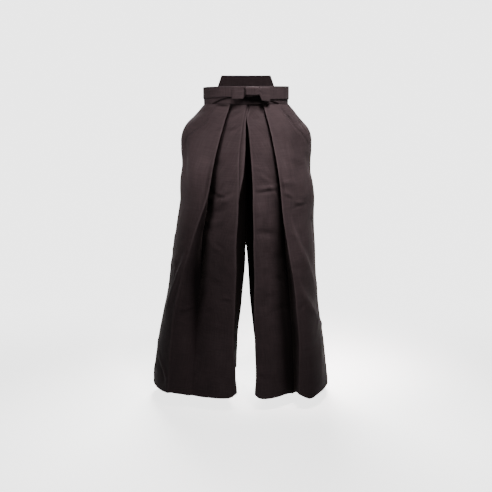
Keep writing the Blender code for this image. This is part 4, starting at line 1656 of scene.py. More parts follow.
FRONT_RIGHT_FURROWS = furrows(
    Stretch.OUTER,
    # The cloth swells over the hip and the thigh, and hangs from there.
    (11, 66, (92, 262, 130, 258, 165, 250, 205, 244)),
    # Down from the slit's seam and along the hip.
    (-4.9, 10, (187, 122, 186, 150, 183, 200, 179, 236, 174, 270)),
    (3.5, 26, (142, 104, 147, 150, 149, 211, 150, 290, 158, 350), PRESSED),
    (3.2, 8, (196, 235, 199, 275, 201, 330)),
    # The seam of the slit's facing, its groove darkened with painted shade.
    (-1.4, 3.2, (88, 28, 100, 48, 112, 69, 125, 87, 153, 106, 178, 125, 191, 152), SOFT, -0.55, 2.6),
    # Places darkened with painted shade, a painted shadow under the waistband, and a soft ridge beside the seam.
    (0, 30, (92, 40, 130, 76, 168, 96), SOFT, -0.32, 30),
    (0, 3, (92, 29, 70, 31, 50, 31.5), SOFT, -0.95, 4.2),
    (0, 34, (168, 335, 176, 400, 186, 455), SOFT, -0.32, 34),
    (1.2, 5, (84, 28, 96, 50, 108, 72, 122, 92, 151, 112, 174, 131)),
    # The pleat's ridge divides at the knee: this soft ridge runs out to the side, its top paled with painted
    # highlight.
    (7.5, 8, (168, 440, 178, 484, 193, 515, 207, 546, 218, 578, 230, 610, 241, 645, 250, 690), PRESSED, 1.0),
    (-3.5, 8, (192, 470, 209, 520, 227, 566, 243, 610)),
    (-4, 8, (188, 530, 202, 570, 216, 612, 230, 660)),
    # Low on the side, with a ridge whose top is paled with painted highlight.
    (3.2, 5.5, (281, 800, 272, 824, 261, 842, 250, 874, 246, 905), SOFT, 0.5),
    (-2.6, 6, (285, 812, 274, 838, 262, 858, 252, 890)),
) + furrows(
    Stretch.INNER,
    # The cloth swells over the hip and the thigh, and hangs from there.
    (7.5, 85, (14, 330, 50, 345, 90, 340, 118, 320)),
    # Places darkened with painted shade.
    (0, 20, (10, 30, 62, 32), SOFT, -0.28, 22),
    (0, 46, (58, 262, 64, 330, 70, 430, 74, 540, 76, 640), SOFT, -0.33, 46),
    # Between the pleats.
    (1.6, 4.5, (50, 60, 38, 52, 28, 47, 15, 42)),
    (-1.3, 4.5, (52, 70, 38, 66, 26, 59, 12, 50)),
    (1.4, 5, (50, 102, 38, 95, 28, 91, 14, 88)),
    (-1.3, 5, (52, 112, 38, 105, 26, 100)),
    (1.3, 6, (80, 273, 64, 260, 45, 254, 32, 254)),
    (-2.9, 6.5, (94, 300, 80, 306, 66, 308, 54, 301, 38, 292)),
    (2.2, 7, (90, 324, 76, 319, 62, 317, 46, 312, 36, 306)),
    # A trough whose depth is darkened with painted shade.
    (-3.8, 11, (101, 296, 88, 308, 74, 317), SOFT, -0.4, 11),
    (1.7, 6, (88, 345, 74, 331, 58, 320, 42, 327)),
    (-1.3, 8, (84, 352, 68, 350, 52, 342)),
    (1.4, 7, (90, 398, 74, 383, 60, 378)),
    (1, 9, (100, 470, 82, 462, 60, 466)),
    (1.9, 5, (78, 620, 62, 611, 50, 614, 33, 622)),
    (-1.6, 6, (80, 630, 64, 622, 46, 625)),
    (1.6, 5.5, (128, 656, 110, 646, 94, 634, 68, 625)),
    (1, 8, (96, 548, 78, 560, 58, 556)),
    (1, 9, (120, 705, 98, 696, 70, 702)),
    (2.2, 13, (86, 740, 84, 790, 83, 840, 80, 885), PRESSED),
    (1.4, 16, (128, 640, 130, 720, 134, 800, 138, 880), PRESSED),
    # The pressed inside edge.
    (1.9, 9, (31, 360, 32, 449, 37, 556, 41, 647, 47, 754, 52, 880), PRESSED),
) + furrows(
    Stretch.UNDER,
    # The turned-under side, below the knee.
    (2.6, 9, (187, 500, 190, 560, 198, 625, 206, 700)),
    (2.2, 6, (206, 652, 190, 657, 172, 652, 160, 646)),
    (-1.9, 6, (206, 668, 190, 672, 172, 664)),
    (1.9, 7, (218, 703, 195, 694, 173, 706)),
    (1.4, 8, (214, 760, 192, 756, 170, 764)),
)
FRONT_LEFT_FURROWS = furrows(
    Stretch.OUTER,
    # The cloth swells over the hip and the thigh, and hangs from there.
    (10, 66, (92, 258, 130, 262, 165, 262, 205, 250)),
    (4, 12, (172, 150, 171, 200, 168, 246, 164, 300)),
    (4.1, 8, (176, 222, 184, 244, 193, 268, 201, 308, 205, 344)),
    (-4.6, 14, (117, 89, 125, 133, 131, 178, 137, 224, 142, 269), PRESSED),
    # The seam of the slit's facing and its second row, their grooves and the places beside them darkened with painted
    # shade.
    (-1.4, 3.2, (101, 28, 116, 48, 131, 66, 153, 97, 175, 118, 196, 154), SOFT, -0.55, 2.6),
    (1.2, 5, (97, 30, 111, 50, 126, 70, 148, 101, 170, 124)),
    (-1.2, 3.2, (150, 58, 157, 68, 172, 91, 187, 115), SOFT, -0.45, 2.6),
    (-0.8, 3.2, (124, 56, 130, 64, 136, 74), SOFT, -0.8, 3.0),
    (-3, 30, (120, 40, 146, 84, 158, 130, 156, 190, 150, 260, 146, 310), SOFT, -0.36, 28),
    # Two soft ridges that run down to the side, behind the knee, their tops paled with painted highlight.
    (6.1, 9, (138, 372, 146, 398, 156, 430, 170, 462, 184, 495, 199, 538, 211, 584, 218, 622), PRESSED, 0.8),
    (-2.6, 9, (150, 372, 164, 420, 182, 462, 200, 510, 213, 560)),
    (4.9, 8, (164, 560, 171, 582, 184, 612, 202, 646, 218, 680, 228, 704), PRESSED, 0.8),
    (-2.3, 9, (178, 560, 192, 592, 210, 630, 226, 664)),
    (2.3, 10, (193, 262, 192, 321, 192, 397, 195, 474), PRESSED),
    (2.6, 10, (230, 720, 234, 780, 237, 847, 239, 896), PRESSED),
    (1.7, 16, (184, 660, 194, 740, 202, 820, 206, 900), PRESSED),
    # Across the thigh.
    (1.4, 5, (104, 258, 116, 261, 130, 262, 150, 265)),
    (1.7, 5, (112, 292, 124, 296, 136, 304, 148, 312)),
    (-1.3, 5, (112, 302, 126, 307, 140, 316)),
    (1.7, 5, (138, 314, 152, 323, 168, 328, 184, 329)),
    (-1.6, 6, (140, 345, 155, 337, 172, 331, 190, 330)),
) + furrows(
    Stretch.INNER,
    # The cloth swells over the hip and the thigh, and hangs from there.
    (5.5, 95, (14, 360, 50, 372, 90, 380, 118, 372)),
    # Between the pleats.
    (2.9, 13, (58, 236, 54, 330, 52, 429, 50, 526, 53, 648, 55, 770, 55, 905), PRESSED),
    (-2.5, 5, (28, 286, 36, 295, 48, 293, 70, 289, 98, 288)),
    (1.9, 6, (30, 280, 48, 281, 70, 277, 94, 278)),
    (1.4, 5, (26, 212, 36, 219, 46, 223, 60, 229)),
    (1.4, 5, (40, 240, 56, 249, 70, 258, 92, 269)),
    (-1.3, 5, (44, 268, 58, 271, 74, 269, 94, 263)),
    (-2.3, 7, (10, 48, 16, 60, 24, 71, 40, 73)),
    (1.3, 6, (30, 484, 42, 482, 55, 502, 76, 509)),
    (1.7, 7, (26, 130, 29, 160, 33, 212)),
    (1.9, 8, (58, 128, 63, 170, 67, 206, 67, 252), PRESSED),
    (1, 8, (60, 600, 80, 590, 104, 596)),
    (0.9, 9, (64, 700, 84, 694, 110, 702)),
    (1.6, 16, (104, 560, 106, 660, 110, 760, 113, 880), PRESSED),
) + furrows(
    Stretch.UNDER,
    (1.3, 7, (118, 560, 126, 572, 134, 566)),
    (1.3, 8, (132, 690, 146, 698, 158, 690)),
)
BACK_RIGHT_FURROWS = furrows(
    Stretch.OUTER,
    # From the seat down and out.
    (2.9, 18, (92, 120, 96, 190, 104, 262, 112, 330), PRESSED),
    (2.3, 8, (64, 90, 84, 108, 112, 118, 138, 112)),
    (2.2, 9, (60, 180, 88, 202, 126, 214, 160, 208)),
    (-3.8, 11, (150, 150, 158, 186, 172, 226, 178, 280)),
    # Behind the knee.
    (3.2, 8, (78, 548, 104, 560, 140, 556, 176, 574)),
    (-2.6, 8, (80, 566, 112, 580, 152, 578)),
    (2.9, 9, (94, 598, 128, 612, 170, 632, 204, 668)),
    # Pressed folds down to the hem.
    (3.2, 22, (150, 330, 166, 440, 180, 560, 196, 700, 208, 880), PRESSED),
    (2.6, 14, (212, 470, 232, 580, 252, 700, 266, 820)),
    (-2.6, 14, (136, 690, 142, 780, 150, 900)),
) + furrows(
    Stretch.INNER,
    # From the seat down and out.
    (3.8, 9, (22, 262, 40, 276, 62, 296, 84, 322)),
    (-3.2, 10, (20, 292, 44, 312, 70, 338)),
    (2.8, 10, (26, 338, 48, 352, 72, 378)),
    (1.9, 9, (24, 402, 46, 414, 78, 424)),
    # Behind the knee.
    (2, 7, (30, 560, 56, 572, 90, 566)),
    (-1.6, 8, (32, 604, 60, 600, 96, 612)),
    # Pressed folds down to the hem.
    (2.3, 18, (60, 420, 66, 560, 72, 720, 80, 890), PRESSED),
)
BACK_LEFT_FURROWS = furrows(
    Stretch.OUTER,
    (2.9, 18, (90, 110, 98, 200, 108, 280, 114, 352), PRESSED),
    (2.2, 8, (70, 74, 90, 96, 116, 104, 140, 100)),
    (2.3, 9, (64, 196, 96, 222, 134, 228, 168, 220)),
    (-3.8, 11, (154, 146, 164, 190, 178, 236, 184, 300)),
    (2.9, 8, (84, 530, 116, 546, 150, 540, 188, 552)),
    (-2.3, 8, (88, 552, 124, 566, 164, 560)),
    (2.6, 9, (96, 590, 134, 600, 172, 618, 200, 640)),
    (3.2, 20, (154, 340, 166, 450, 174, 560, 184, 700, 192, 880), PRESSED),
    (2.6, 14, (198, 430, 212, 560, 226, 690, 238, 830)),
    (-2.3, 14, (140, 660, 144, 770, 148, 900)),
) + furrows(
    Stretch.INNER,
    (3.5, 9, (22, 272, 44, 282, 66, 306, 88, 338)),
    (-2.9, 10, (22, 308, 42, 322, 64, 350)),
    (2.6, 9, (24, 356, 52, 372, 78, 400)),
    (1.9, 7, (32, 536, 60, 552, 96, 548)),
    (2.3, 18, (64, 400, 70, 540, 76, 700, 84, 890), PRESSED),
)
LEFT_HEM_SAGS = (
    (27, -11), (33, -4), (42, 2), (52, 4), (84, 4), (113, 4), (121, 3.5), (127, 4.4), (136.5, 5.6), (143, 8),
    (148, 11), (150.5, 11.5), (153, 6.5), (156, 0), (159, -4.7), (163, -6.7), (172.5, -2), (185, 4.6), (198, 10.2),
    (211, 9), (218, 4.5), (232, 0),
)
RIGHT_HEM_SAGS = (
    (25, -12), (31, -7), (38, -1), (48, 2.5), (60, 2.5), (90, 2), (112, 0.5), (160, 1.5), (178, 2), (196, -2),
    (230, -2.5), (245, 1.5), (262, 2.5), (280, 1), (296, 0),
)


def linear(hex_colour: str) -> tuple[float, float, float, float]:
    """A colour for a shader socket from its sRGB hex value, such as "#2a2627"."""
    values = [int(hex_colour[k : k + 2], 16) / 255 for k in (1, 3, 5)]
    return (*(v / 12.92 if v <= 0.04045 else ((v + 0.055) / 1.055) ** 2.4 for v in values), 1.0)


def wire(node: Node, links: dict) -> None:
    """Set a node's inputs.

    Args:
        node: the node.
        links: for each input's name or number, a value, a node whose first output it takes, or a (node, output).
    """
    for socket, value in links.items():
        source, output = value if isinstance(value, tuple) and len(value) == 2 else (value, 0)
        if isinstance(source, Node):
            node.id_data.links.new(source.outputs[output], node.inputs[socket])
        else:
            node.inputs[socket].default_value = value


def add_node(tree: NodeTree, kind: str, links: dict | None = None, **settings) -> Node:
    """Add a node to a material with its settings and links.

    Args:
        tree: the material's tree.
        kind: the shader node's type.
        links: its inputs, as wire takes them.
        settings: the node's own properties.

    Returns:
        The node.
    """
    node = tree.nodes.new(f"ShaderNode{kind}")
    for name, value in settings.items():
        setattr(node, name, value)
    wire(node, links or {})
    return node


def ramp(node: Node, *stops: tuple[float, str]) -> Node:
    """Set a colour ramp's two stops.

    Args:
        node: the ramp.
        stops: the two stops as (place, hex colour).

    Returns:
        The ramp.
    """
    for element, (place, colour) in zip(node.color_ramp.elements, stops, strict=True):
        element.position, element.color = place, linear(colour)
    return node


def new_material(name: str) -> tuple[Material, Node, Callable[..., Node]]:
    """A new material.

    Args:
        name: its name.

    Returns:
        The material, its shader, and add_node for its tree.
    """
    material = bpy.data.materials.new(name)
    material.use_nodes = True
    shader = next(node for node in material.node_tree.nodes if node.type == "BSDF_PRINCIPLED")
    return material, shader, partial(add_node, material.node_tree)


# A wave texture's scale for one band in a metre.
BAND_ASLANT = 0.6283
BAND_LEVEL = 0.3142


@dataclass(frozen=True)
class Twill:
    """Polyester and rayon twill, woven fine and dyed near black: matt, with a faint silky bloom at the edges."""

    name: str
    dark: str
    light: str
    wear_and_highlight: str = "#2b2627"  # on the pressed edges, where wear and painted highlight pale the dye
    deep: str = "#060505"  # painted shade inside the pleats, creases and gaps: near black
    roughness: float = 0.85
    sheen: float = 0.015
    rib: float = 1.5  # mm between twill ribs: they are 0.6 mm apart, and drawn coarser to show up close
    thread: float = 0.8  # mm between threads: they are 0.35 mm apart, and drawn coarser as well
    slub: float = 4.0  # mm across the uneven threads that show from a step away
    warp_slub: float = 14.0  # how many times longer than wide they are down the cloth
    weft_slub: float = 11.0  # and across it
    rib_height: float = 0.06  # mm
    slub_height: float = 0.16  # mm

    def material(self) -> Material:
        """Build the finish from the cloth's own UV map, in metres of cloth.

        Returns:
            The material.
        """
        material, shader, add = new_material(self.name)
        cloth = add("UVMap", uv_map="Cloth")
        slubs = 1000 / self.slub
        warp_place = add("Mapping", {0: cloth, "Scale": (slubs, slubs / self.warp_slub, 1)})
        weft_place = add("Mapping", {0: cloth, "Scale": (slubs / self.weft_slub, slubs, 1)})
        warp = add("TexNoise", {0: warp_place, "Scale": 1.0, "Detail": 3.0})
        weft = add("TexNoise", {0: weft_place, "Scale": 1.0, "Detail": 3.0})
        threads = add("Mix", {0: 0.5, 2: warp, 3: weft}, data_type="FLOAT")
        rib_scale = BAND_ASLANT / (self.rib * MM)
        ribs = add(
            "TexWave", {0: cloth, "Scale": rib_scale, "Distortion": 0.6, "Detail Scale": 2.0},
            bands_direction="DIAGONAL",
        )
        yarns = add("TexWave", {0: cloth, "Scale": BAND_LEVEL / (self.thread * MM)}, bands_direction="Y")
        weave = add("Mix", {0: 0.35, 2: (ribs, 1), 3: (yarns, 1)}, data_type="FLOAT")
        clouds = add("TexNoise", {0: cloth, "Scale": 14.0, "Detail": 4.0})
        tone = add("MapRange", {0: threads, 1: 0.34, 2: 0.66})
        cloudy = add("MapRange", {0: clouds, 1: 0.3, 2: 0.7, 3: 0.25, 4: 0.75})
        share = add("Mix", {0: 0.5, 2: tone, 3: cloudy}, data_type="FLOAT")
        base = ramp(add("ValToRGB", {0: share}), (0.15, self.dark), (0.85, self.light))
        # Wear and painted highlight pale the pressed ridges and some fold tops, unevenly.
        pressed = add("Attribute", attribute_name="pressed")
        wear_and_painted_light = add("Math", {0: (pressed, 2), 1: cloudy}, operation="MULTIPLY")
        open_colour = add("Mix", {0: wear_and_painted_light, 6: base, 7: linear(self.wear_and_highlight)}, data_type="RGBA")
        # Painted shade in the pleats, creases and gaps darkens the colour to near black.
        sheltered = add("Attribute", attribute_name="sheltered")
        colour = add("Mix", {0: (sheltered, 2), 6: (open_colour, 2), 7: linear(self.deep)}, data_type="RGBA")
        smooth, rough = self.roughness - 0.07, self.roughness + 0.07
        roughness = add("MapRange", {0: threads, 1: 0.3, 2: 0.7, 3: smooth, 4: rough})
        uneven = add("Bump", {"Height": threads, "Distance": self.slub_height * MM})
        woven = add("Bump", {"Height": weave, "Distance": self.rib_height * MM, "Normal": uneven})
        wire(shader, {
            "Base Color": (colour, 2), "Roughness": roughness, "Normal": woven,
            "Specular IOR Level": 0.02, "IOR": 1.5, "Sheen Weight": self.sheen,
            "Sheen Roughness": 0.38, "Sheen Tint": linear("#c3b4b0"),
        })
        return material


@dataclass(frozen=True)
class Thread:
    """Spun polyester sewing thread, black, a little glossier than the cloth and twisted."""

    name: str
    dark: str
    light: str
    twist: float = 0.5  # mm between the thread's turns
    twist_height: float = 0.05  # mm

    def material(self) -> Material:
        """Build the finish, with the thread's twist as a fine wave.

        Returns:
            The material.
        """
        material, shader, add = new_material(self.name)
        place = add("TexCoord")
        twist = add(
            "TexWave", {0: (place, 3), "Scale": BAND_ASLANT / (self.twist * MM), "Distortion": 1.5},
            bands_direction="DIAGONAL",
        )
        colour = ramp(add("ValToRGB", {0: (twist, 1)}), (0.2, self.dark), (0.9, self.light))
        bump = add("Bump", {"Height": (twist, 1), "Strength": 0.6, "Distance": self.twist_height * MM})
        wire(shader, {"Base Color": colour, "Normal": bump, "Roughness": 0.7, "Specular IOR Level": 0.1})
        return material


@dataclass(frozen=True)
class Paper:
    """Seamless backdrop paper, pale and matt, with a faint fibre."""

    name: str = "backdrop_paper"
    dark: str = "#eeedeb"
    light: str = "#f6f5f3"
    glow: float = 3.4  # of the part that stands behind, so that it stays pale
    floor_glow: float = 2.6

    def material(self) -> Material:
        """Build the finish.

        Returns:
            The material.
        """
        material, shader, add = new_material(self.name)
        place = add("TexCoord")
        fibre = add("TexNoise", {0: (place, 3), "Scale": 60.0, "Detail": 5.0})
        colour = ramp(add("ValToRGB", {0: fibre}), (0.3, self.dark), (0.7, self.light))
        apart = add("SeparateXYZ", {0: (place, 3)})
        glow = add(
            "MapRange", {0: (apart, 1), 1: -0.2, 2: 1.2, 3: self.floor_glow, 4: self.glow},
            interpolation_type="SMOOTHSTEP",
        )
        wire(shader, {
            "Base Color": colour, "Roughness": 0.95, "Specular IOR Level": 0.1,
            "Emission Color": linear("#ffffff"), "Emission Strength": glow,
        })
        return material


WARM = "#fff1f2"


@dataclass(frozen=True)
class SoftLight:
    """A soft light: where it is, where it points, how wide it is and how strong."""

    name: str
    place: tuple[float, float, float]
    target: tuple[float, float, float]
    width: float
    watts: float
    spread: float = 180.0  # in degrees
    colour: str = "#ffffff"


@dataclass
class Studio:
    """The plain pale floor that curves up behind, the soft lights and the camera."""

    floor: float = -0.962
    paper: Way = (9.0, 5.0)  # the paper's size on the floor and behind
    cove: float = 1.6  # how wide the curve between them is
    lights: tuple[SoftLight, ...] = (
        SoftLight("key", (0.24, -0.60, 0.68), (0.20, -0.12, -0.10), 0.4, 7.3, 36.0, WARM),
        SoftLight("fill", (-0.42, -0.60, 0.50), (-0.19, -0.12, -0.15), 0.3, 1.6, 24.0, WARM),
        SoftLight("low", (-0.10, -1.60, -0.70), (-0.04, -0.12, -0.90), 0.4, 1.6, 48.0, WARM),
        SoftLight("waist", (-0.16, -1.30, 0.02), (-0.11, -0.14, 0.02), 0.2, 0.20, 13.0, WARM),
        SoftLight("back", (-0.08, 0.85, 0.80), (0.0, 0.16, -0.15), 0.55, 15.0, 60.0),
    )
    camera_distance: float = 3.10
    camera_drop: float = 151 / 984  # how far down it looks, as a slope
    lens: float = 72.0
    sensor: float = 36.0

    def build(self) -> None:
        """Set up the floor, lights, surroundings and camera."""
        self.make_backdrop()
        for soft in self.lights:
            self.add_light(soft)
        world = bpy.data.worlds.new("pale room")
        world.use_nodes = True
        wire(world.node_tree.nodes["Background"], {"Color": linear("#f7f6f5"), "Strength": 0.10})
        bpy.context.scene.world = world
        camera = bpy.data.cameras.new("camera")
        camera.lens, camera.sensor_width = self.lens, self.sensor
        holder = bpy.data.objects.new("camera", camera)
        holder.location = (0, -self.camera_distance, 0)
        holder.rotation_euler = (math.pi / 2 - math.atan(self.camera_drop), 0, 0)
        bpy.context.scene.collection.objects.link(holder)
        bpy.context.scene.camera = holder
        log.info("studio: %d lights", len(self.lights))

    def make_backdrop(self) -> None:
        """Model the paper: a floor whose far edge is drawn up and rounded."""
        bpy.ops.object.select_all(action="DESELECT")
        bpy.ops.mesh.primitive_plane_add(size=self.paper[0], location=(0, -1.5, self.floor))
        obj = bpy.context.object
        obj.name = "backdrop"
        bpy.ops.object.transform_apply(location=True, rotation=False, scale=False)
        for edge in obj.data.edges:
            edge.select = all(obj.data.vertices[v].co.y > 2 for v in edge.vertices)
        for polygon in obj.data.polygons:
            polygon.select = False
        for vertex in obj.data.vertices:
            vertex.select = vertex.co.y > 2
        bpy.ops.object.mode_set(mode="EDIT")
        bpy.ops.mesh.extrude_region_move(TRANSFORM_OT_translate={"value": (0, 0, self.paper[1])})
        bpy.ops.object.mode_set(mode="OBJECT")
        cove = obj.modifiers.new("Cove", "BEVEL")
        cove.width, cove.segments, cove.limit_method = self.cove, 24, "ANGLE"
        choose(obj)
        bpy.ops.object.modifier_apply(modifier=cove.name)
        bpy.ops.object.shade_smooth()
        obj.data.materials.append(Paper().material())
        obj.visible_diffuse = False

    def add_light(self, soft: SoftLight) -> None:
        """Add one soft light.

        Args:
            soft: the light.
        """
        light = bpy.data.lights.new(soft.name, "AREA")
        light.energy, light.size = soft.watts, soft.width
        light.color = linear(soft.colour)[:3]
        light.spread = math.radians(soft.spread)
        obj = bpy.data.objects.new(soft.name, light)
        obj.location = soft.place
        obj.rotation_euler = (Vector(soft.target) - Vector(soft.place)).to_track_quat("-Z", "Y").to_euler()
        obj.visible_camera = False
        bpy.context.scene.collection.objects.link(obj)


def within(place: Array, start: float, start_fade: float, end: float, end_fade: float) -> Array:
    """1 between two places, fading to 0 at each of them over its own distance."""
    return smooth_share((place - start) / start_fade) * smooth_share((end - place) / end_fade)


def band_shade(along: Array, share: Array) -> Array:
    """How much painted shade each place on the waistband gets in the gap beneath the knot, and painted shadow close
    under the front tie.

    Args:
        along: distance along the band from its end on the wearer's right.
        share: 0 at the lower edge and 1 at the upper one.

    Returns:
        0 in the open to 1 where the painted shade is full.
    """
    out = along - BAND_MIDDLE
    knot = within(out, *UNDER_KNOT) * smooth_share((share - 0.10 + 0.0016 * out) / 0.16)
    below_tie = np.interp(out, *zip(*TIE_EDGE)) - FRONT_TOP - share * (BAND_TOP - FRONT_TOP)
    return np.maximum(knot, DEEPEST * within(out, *UNDER_TIE) * np.exp(-(((below_tie - 1.0) / 2.4) ** 2)))


def tie_shade(along: Array, share: Array) -> Array:
    """How much painted shadow each place on the front tie gets along its turned lower edge, at the wearer's right of
    the front.
    """
    return DEEPEST * smooth_share((0.17 - share) / 0.13) * within(TIE_MIDDLE - along, *TURNED_EDGE)


def bow_shade(along: Array, share: Array) -> Array:
    """How much painted shade each place on the wearer's left back tie gets in the gap behind the knot and the bow."""
    return smooth_share((42 - along) / 12) * smooth_share((0.46 - share) / 0.2)


# Where the painted shade of the gaps starts and ends on each side of the front's middle: (start, its fade, end, its
# fade).
UNDER_KNOT, UNDER_TIE, TURNED_EDGE = (-26, 12, 60, 10), (-110, 14, -38, 10), (38, 10, 114, 14)
DEEPEST = 0.85  # the darkest painted shade in the tie's own gaps
BAND_EDGES = [(end, FRONT_TOP + DRAWN_SEAM / 2, BAND_TOP) for end in (-BAND_END, BAND_END)]
STITCHES_SUNK = 0.45  # how deep the board's stitches pull its cover in
BAND_MIDDLE = 161.0  # the middle of the waistband, from its end
TIE_MIDDLE = 356.5  # the middle of the front tie, from the middle of the back
TIE_EDGE = ((-107, -25), (-91, -18.7), (-76, -13), (-61, -9.3), (-45, -7))  # its low edge on the band (across, height)

# Rows of stitches on the fronts' faces, beside the slit: places (out, height).
FACE_STITCHES = {
    "front right": (
        ((88, -29), (100, -48), (112, -69), (125, -87), (153, -106), (178, -125), (190, -150)),
        ((113, -31), (103, -50)),
        ((112, -34), (98, -34)),
    ),
    "front left": (
        ((101, -29), (116, -48), (131, -66), (153, -97), (175, -118), (195, -153)),
        ((153, -60), (157, -67), (172, -91), (188, -116)),
    ),
}
TACKS = {"front left": tuple(((124 + k, -58 - k), (130 + k, -54 - k)) for k in (0, 4, 8, 12))}
TACK_THREAD, HEM_THREAD, TIE_THREAD = (2.2, 0.6), (1.4, 9.0), (2.6, 1.6)  # the stitch and the gap after it
SLIT_ROWS = (3.0, 9.0)  # from the slit's edge
TIE_ROWS, BAND_ROWS = (0.09, 0.91), (0.06, 0.94)  # as shares of the width


class Held(Enum):
    """How a sheet of cloth is held."""

    HUNG = "hung"
    FOLDED = "folded"
    STRETCHED = "stretched"


@dataclass(frozen=True)
class Cut:
    """A sheet's flat cut, in metres, before it was hung or folded."""

    width: float
    length: float
    held: Held
    rests_on: tuple[str, ...] = ()
    area: float | None = None  # where the cut isn't a rectangle


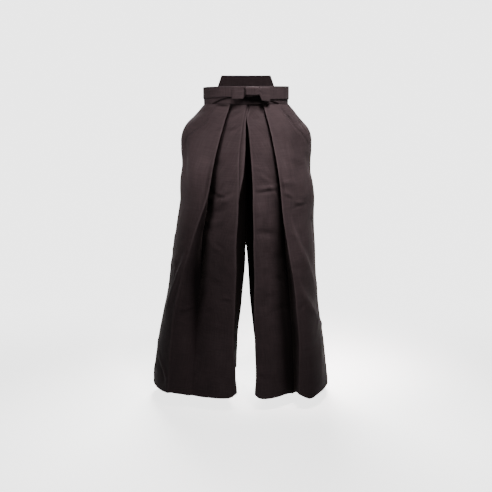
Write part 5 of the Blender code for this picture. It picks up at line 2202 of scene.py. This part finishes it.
@dataclass
class Hakama:
    """The whole garment, with the pieces in the order that a maker joins them."""

    panel_cloth: Material
    tie_cloth: Material
    board_cloth: Material
    thread: Material
    panels: dict[str, Panel] = field(default_factory=dict)
    pieces: dict[str, Object] = field(default_factory=dict)
    strips: dict[str, Strip] = field(default_factory=dict)

    def make_panels(self) -> None:
        """Make the four panels and the gusset."""
        self.panels = {
            "front right": FrontPanel(
                "front_panel_right", -1, RIGHT_LINES, FRONT_RIGHT_FURROWS, Rumples(5), RIGHT_HEM_SAGS
            ),
            "front left": FrontPanel(
                "front_panel_left", 1, LEFT_LINES, FRONT_LEFT_FURROWS, Rumples(8), LEFT_HEM_SAGS
            ),
            "back right": BackPanel("back_panel_right", -1, RIGHT_LINES, BACK_RIGHT_FURROWS, Rumples(21)),
            "back left": BackPanel("back_panel_left", 1, LEFT_LINES, BACK_LEFT_FURROWS, Rumples(34)),
        }
        for name, panel in self.panels.items():
            self.pieces[name] = panel.build(self.panel_cloth)
        self.pieces["gusset"] = Gusset().build(self.panel_cloth)

    def make_waist(self) -> None:
        """Make the waistband, the ties, the bow and the board."""
        self.strips = {
            "waistband": wound(
                "front_waistband", (-BAND_END, BAND_END), BAND / 2, BAND_EDGES,
                thickness=BAND, slot="panel_cloth", shelter=band_shade,
            ),
            "front tie": wound(
                "front_tie", (-180, 180), FRONT_TIE_OUT, FRONT_TIE_EDGES, hollows=slack(3, 0.35), shelter=tie_shade,
            ),
            "back tie right": wound(
                "back_tie_right", (-144, 8.2), BACK_TIE_OUT, RIGHT_TIE_EDGES, hollows=slack(4, 0.45),
            ),
            "back tie left": wound(
                "back_tie_left", (8.8, 144), BACK_TIE_OUT, LEFT_TIE_EDGES,
                hollows=slack(6, 0.45), shelter=bow_shade,
            ),
        }
        bow = Bow()
        self.strips["bow bar"] = bow.bar()
        for name, strip in self.strips.items():
            cloth = self.panel_cloth if strip.slot == "panel_cloth" else self.tie_cloth
            self.pieces[name] = strip.build(cloth)
        self.pieces["bow knot"] = bow.knot(self.tie_cloth)
        self.pieces["board"] = BackBoard().build(self.board_cloth)

    def face_line(self, panel: str, places: Sequence[Way], stitch: float = 3.0, gap: float = 1.2) -> Seamline:
        """A line of stitches on a panel's outer face.

        Args:
            panel: the panel.
            places: (out, height) of its corners.
            stitch: a stitch's length.
            gap: the gap between two.

        Returns:
            The line.
        """
        path = np.array(places, float)
        marks = np.concatenate((dense(path, 3), path[-1:]))
        found = [self.panels[panel].grid.at(Stretch.OUTER, out, up) for out, up in marks]
        return Seamline.through(found, CLOTH / 2, stitch, gap)

    def side_line(self, panel: str, gap: float, top: float, bottom: float) -> Seamline:
        """A line of stitches down a panel's slit edge."""
        grid = self.panels[panel].grid
        return Seamline.through([grid.in_from_side(gap, up) for up in np.arange(top, bottom, -4.0)], CLOTH)

    def hem_line(self, panel: str, up: float) -> Seamline:
        """The small blind stitches of the hem.

        Args:
            panel: the panel.
            up: how far they are above its edge.

        Returns:
            The line.
        """
        grid = self.panels[panel].grid
        row = grid.row_at(HEM + up)
        found = [grid.between(row, column) for column in range(1, grid.points.shape[1] - 1)]
        return Seamline.through(found, CLOTH * 0.85, *HEM_THREAD)

    def strip_lines(self, strip: str, shares: Sequence[float]) -> list[Seamline]:
        """Rows of stitches along a strip.

        Args:
            strip: the strip.
            shares: where they are, as shares of its width.

        Returns:
            The lines.
        """
        made = self.strips[strip]
        places = np.arange(3.0, made.lengths()[-1] - 3.0, 3.0)
        return [Seamline.through([made.surface(along, share) for along in places], 0, *TIE_THREAD) for share in shares]

    def sew(self) -> None:
        """Add the thread that shows, and name it as part of the cloth that it holds."""
        for name, panel in self.panels.items():
            lines = [self.face_line(name, places) for places in FACE_STITCHES.get(name, ())]
            lines += [self.face_line(name, places, *TACK_THREAD) for places in TACKS.get(name, ())]
            lines += [self.side_line(name, gap, panel.top - 6, SLIT_END) for gap in SLIT_ROWS]
            lines.append(self.hem_line(name, HEM_DEPTH - 4))
            self.stitch(name, f"{panel.node}_sewing", lines, "panel_cloth")
        for name in ("front tie", "back tie right", "back tie left"):
            self.stitch(name, f"{self.strips[name].node}_sewing", self.strip_lines(name, TIE_ROWS), "tie_cloth")
        self.stitch("waistband", "waistband_sewing", self.strip_lines("waistband", BAND_ROWS), "panel_cloth")
        self.stitch("board", "board_sewing", [self.board_line()], "board_cloth")

    def stitch(self, name: str, piece: str, lines: Sequence[Seamline], slot: str) -> None:
        """Sew the lines on one of the garment's pieces, as a piece of its own."""
        self.pieces[f"{name} sewing"] = Sewing().sewn(piece, lines, self.thread, slot)

    def board_line(self) -> Seamline:
        """The stitches round the board's back face.

        Returns:
            The line.
        """
        corners = []
        for up in (BACK_TOP + BOARD_STITCH_IN, BOARD_TOP - BOARD_STITCH_IN):
            half = board_half((up - BACK_TOP) / (BOARD_TOP - BACK_TOP)) - BOARD_STITCH_IN
            corners += [(-half, up), (half, up)]
        a, b, d, c = corners
        out, up = dense(np.array([a, b, c, d, a]), 4).T
        face = BOARD_MIDDLE_Y - BOARD_BEND * out**2 + BOARD / 2 - STITCHES_SUNK
        points = np.column_stack((out, face, up))
        normals = np.column_stack((2 * BOARD_BEND * out, np.ones(len(out)), np.zeros(len(out))))
        normals /= np.linalg.norm(normals, axis=1, keepdims=True)
        return Seamline(points, normals)


def main() -> None:
    """Load the frame, make the garment over it, and set up the studio."""
    logging.basicConfig(level=logging.INFO, format="%(name)s: %(message)s")
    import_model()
    panel_cloth = Twill("woven_twill_near_black", dark="#181415", light="#221d1e")
    tie_cloth = Twill("woven_twill_ties", dark="#191516", light="#241f20", rib=1.3, sheen=0.02)
    board_cloth = Twill("woven_twill_board", dark="#181415", light="#211c1d", roughness=0.8)
    thread = Thread("black_sewing_thread", dark="#0d0b0c", light="#191617")
    hakama = Hakama(*(finish.material() for finish in (panel_cloth, tie_cloth, board_cloth, thread)))
    hakama.make_waist()
    hakama.make_panels()
    hakama.sew()
    Studio().build()


if __name__ == "__main__":
    main()
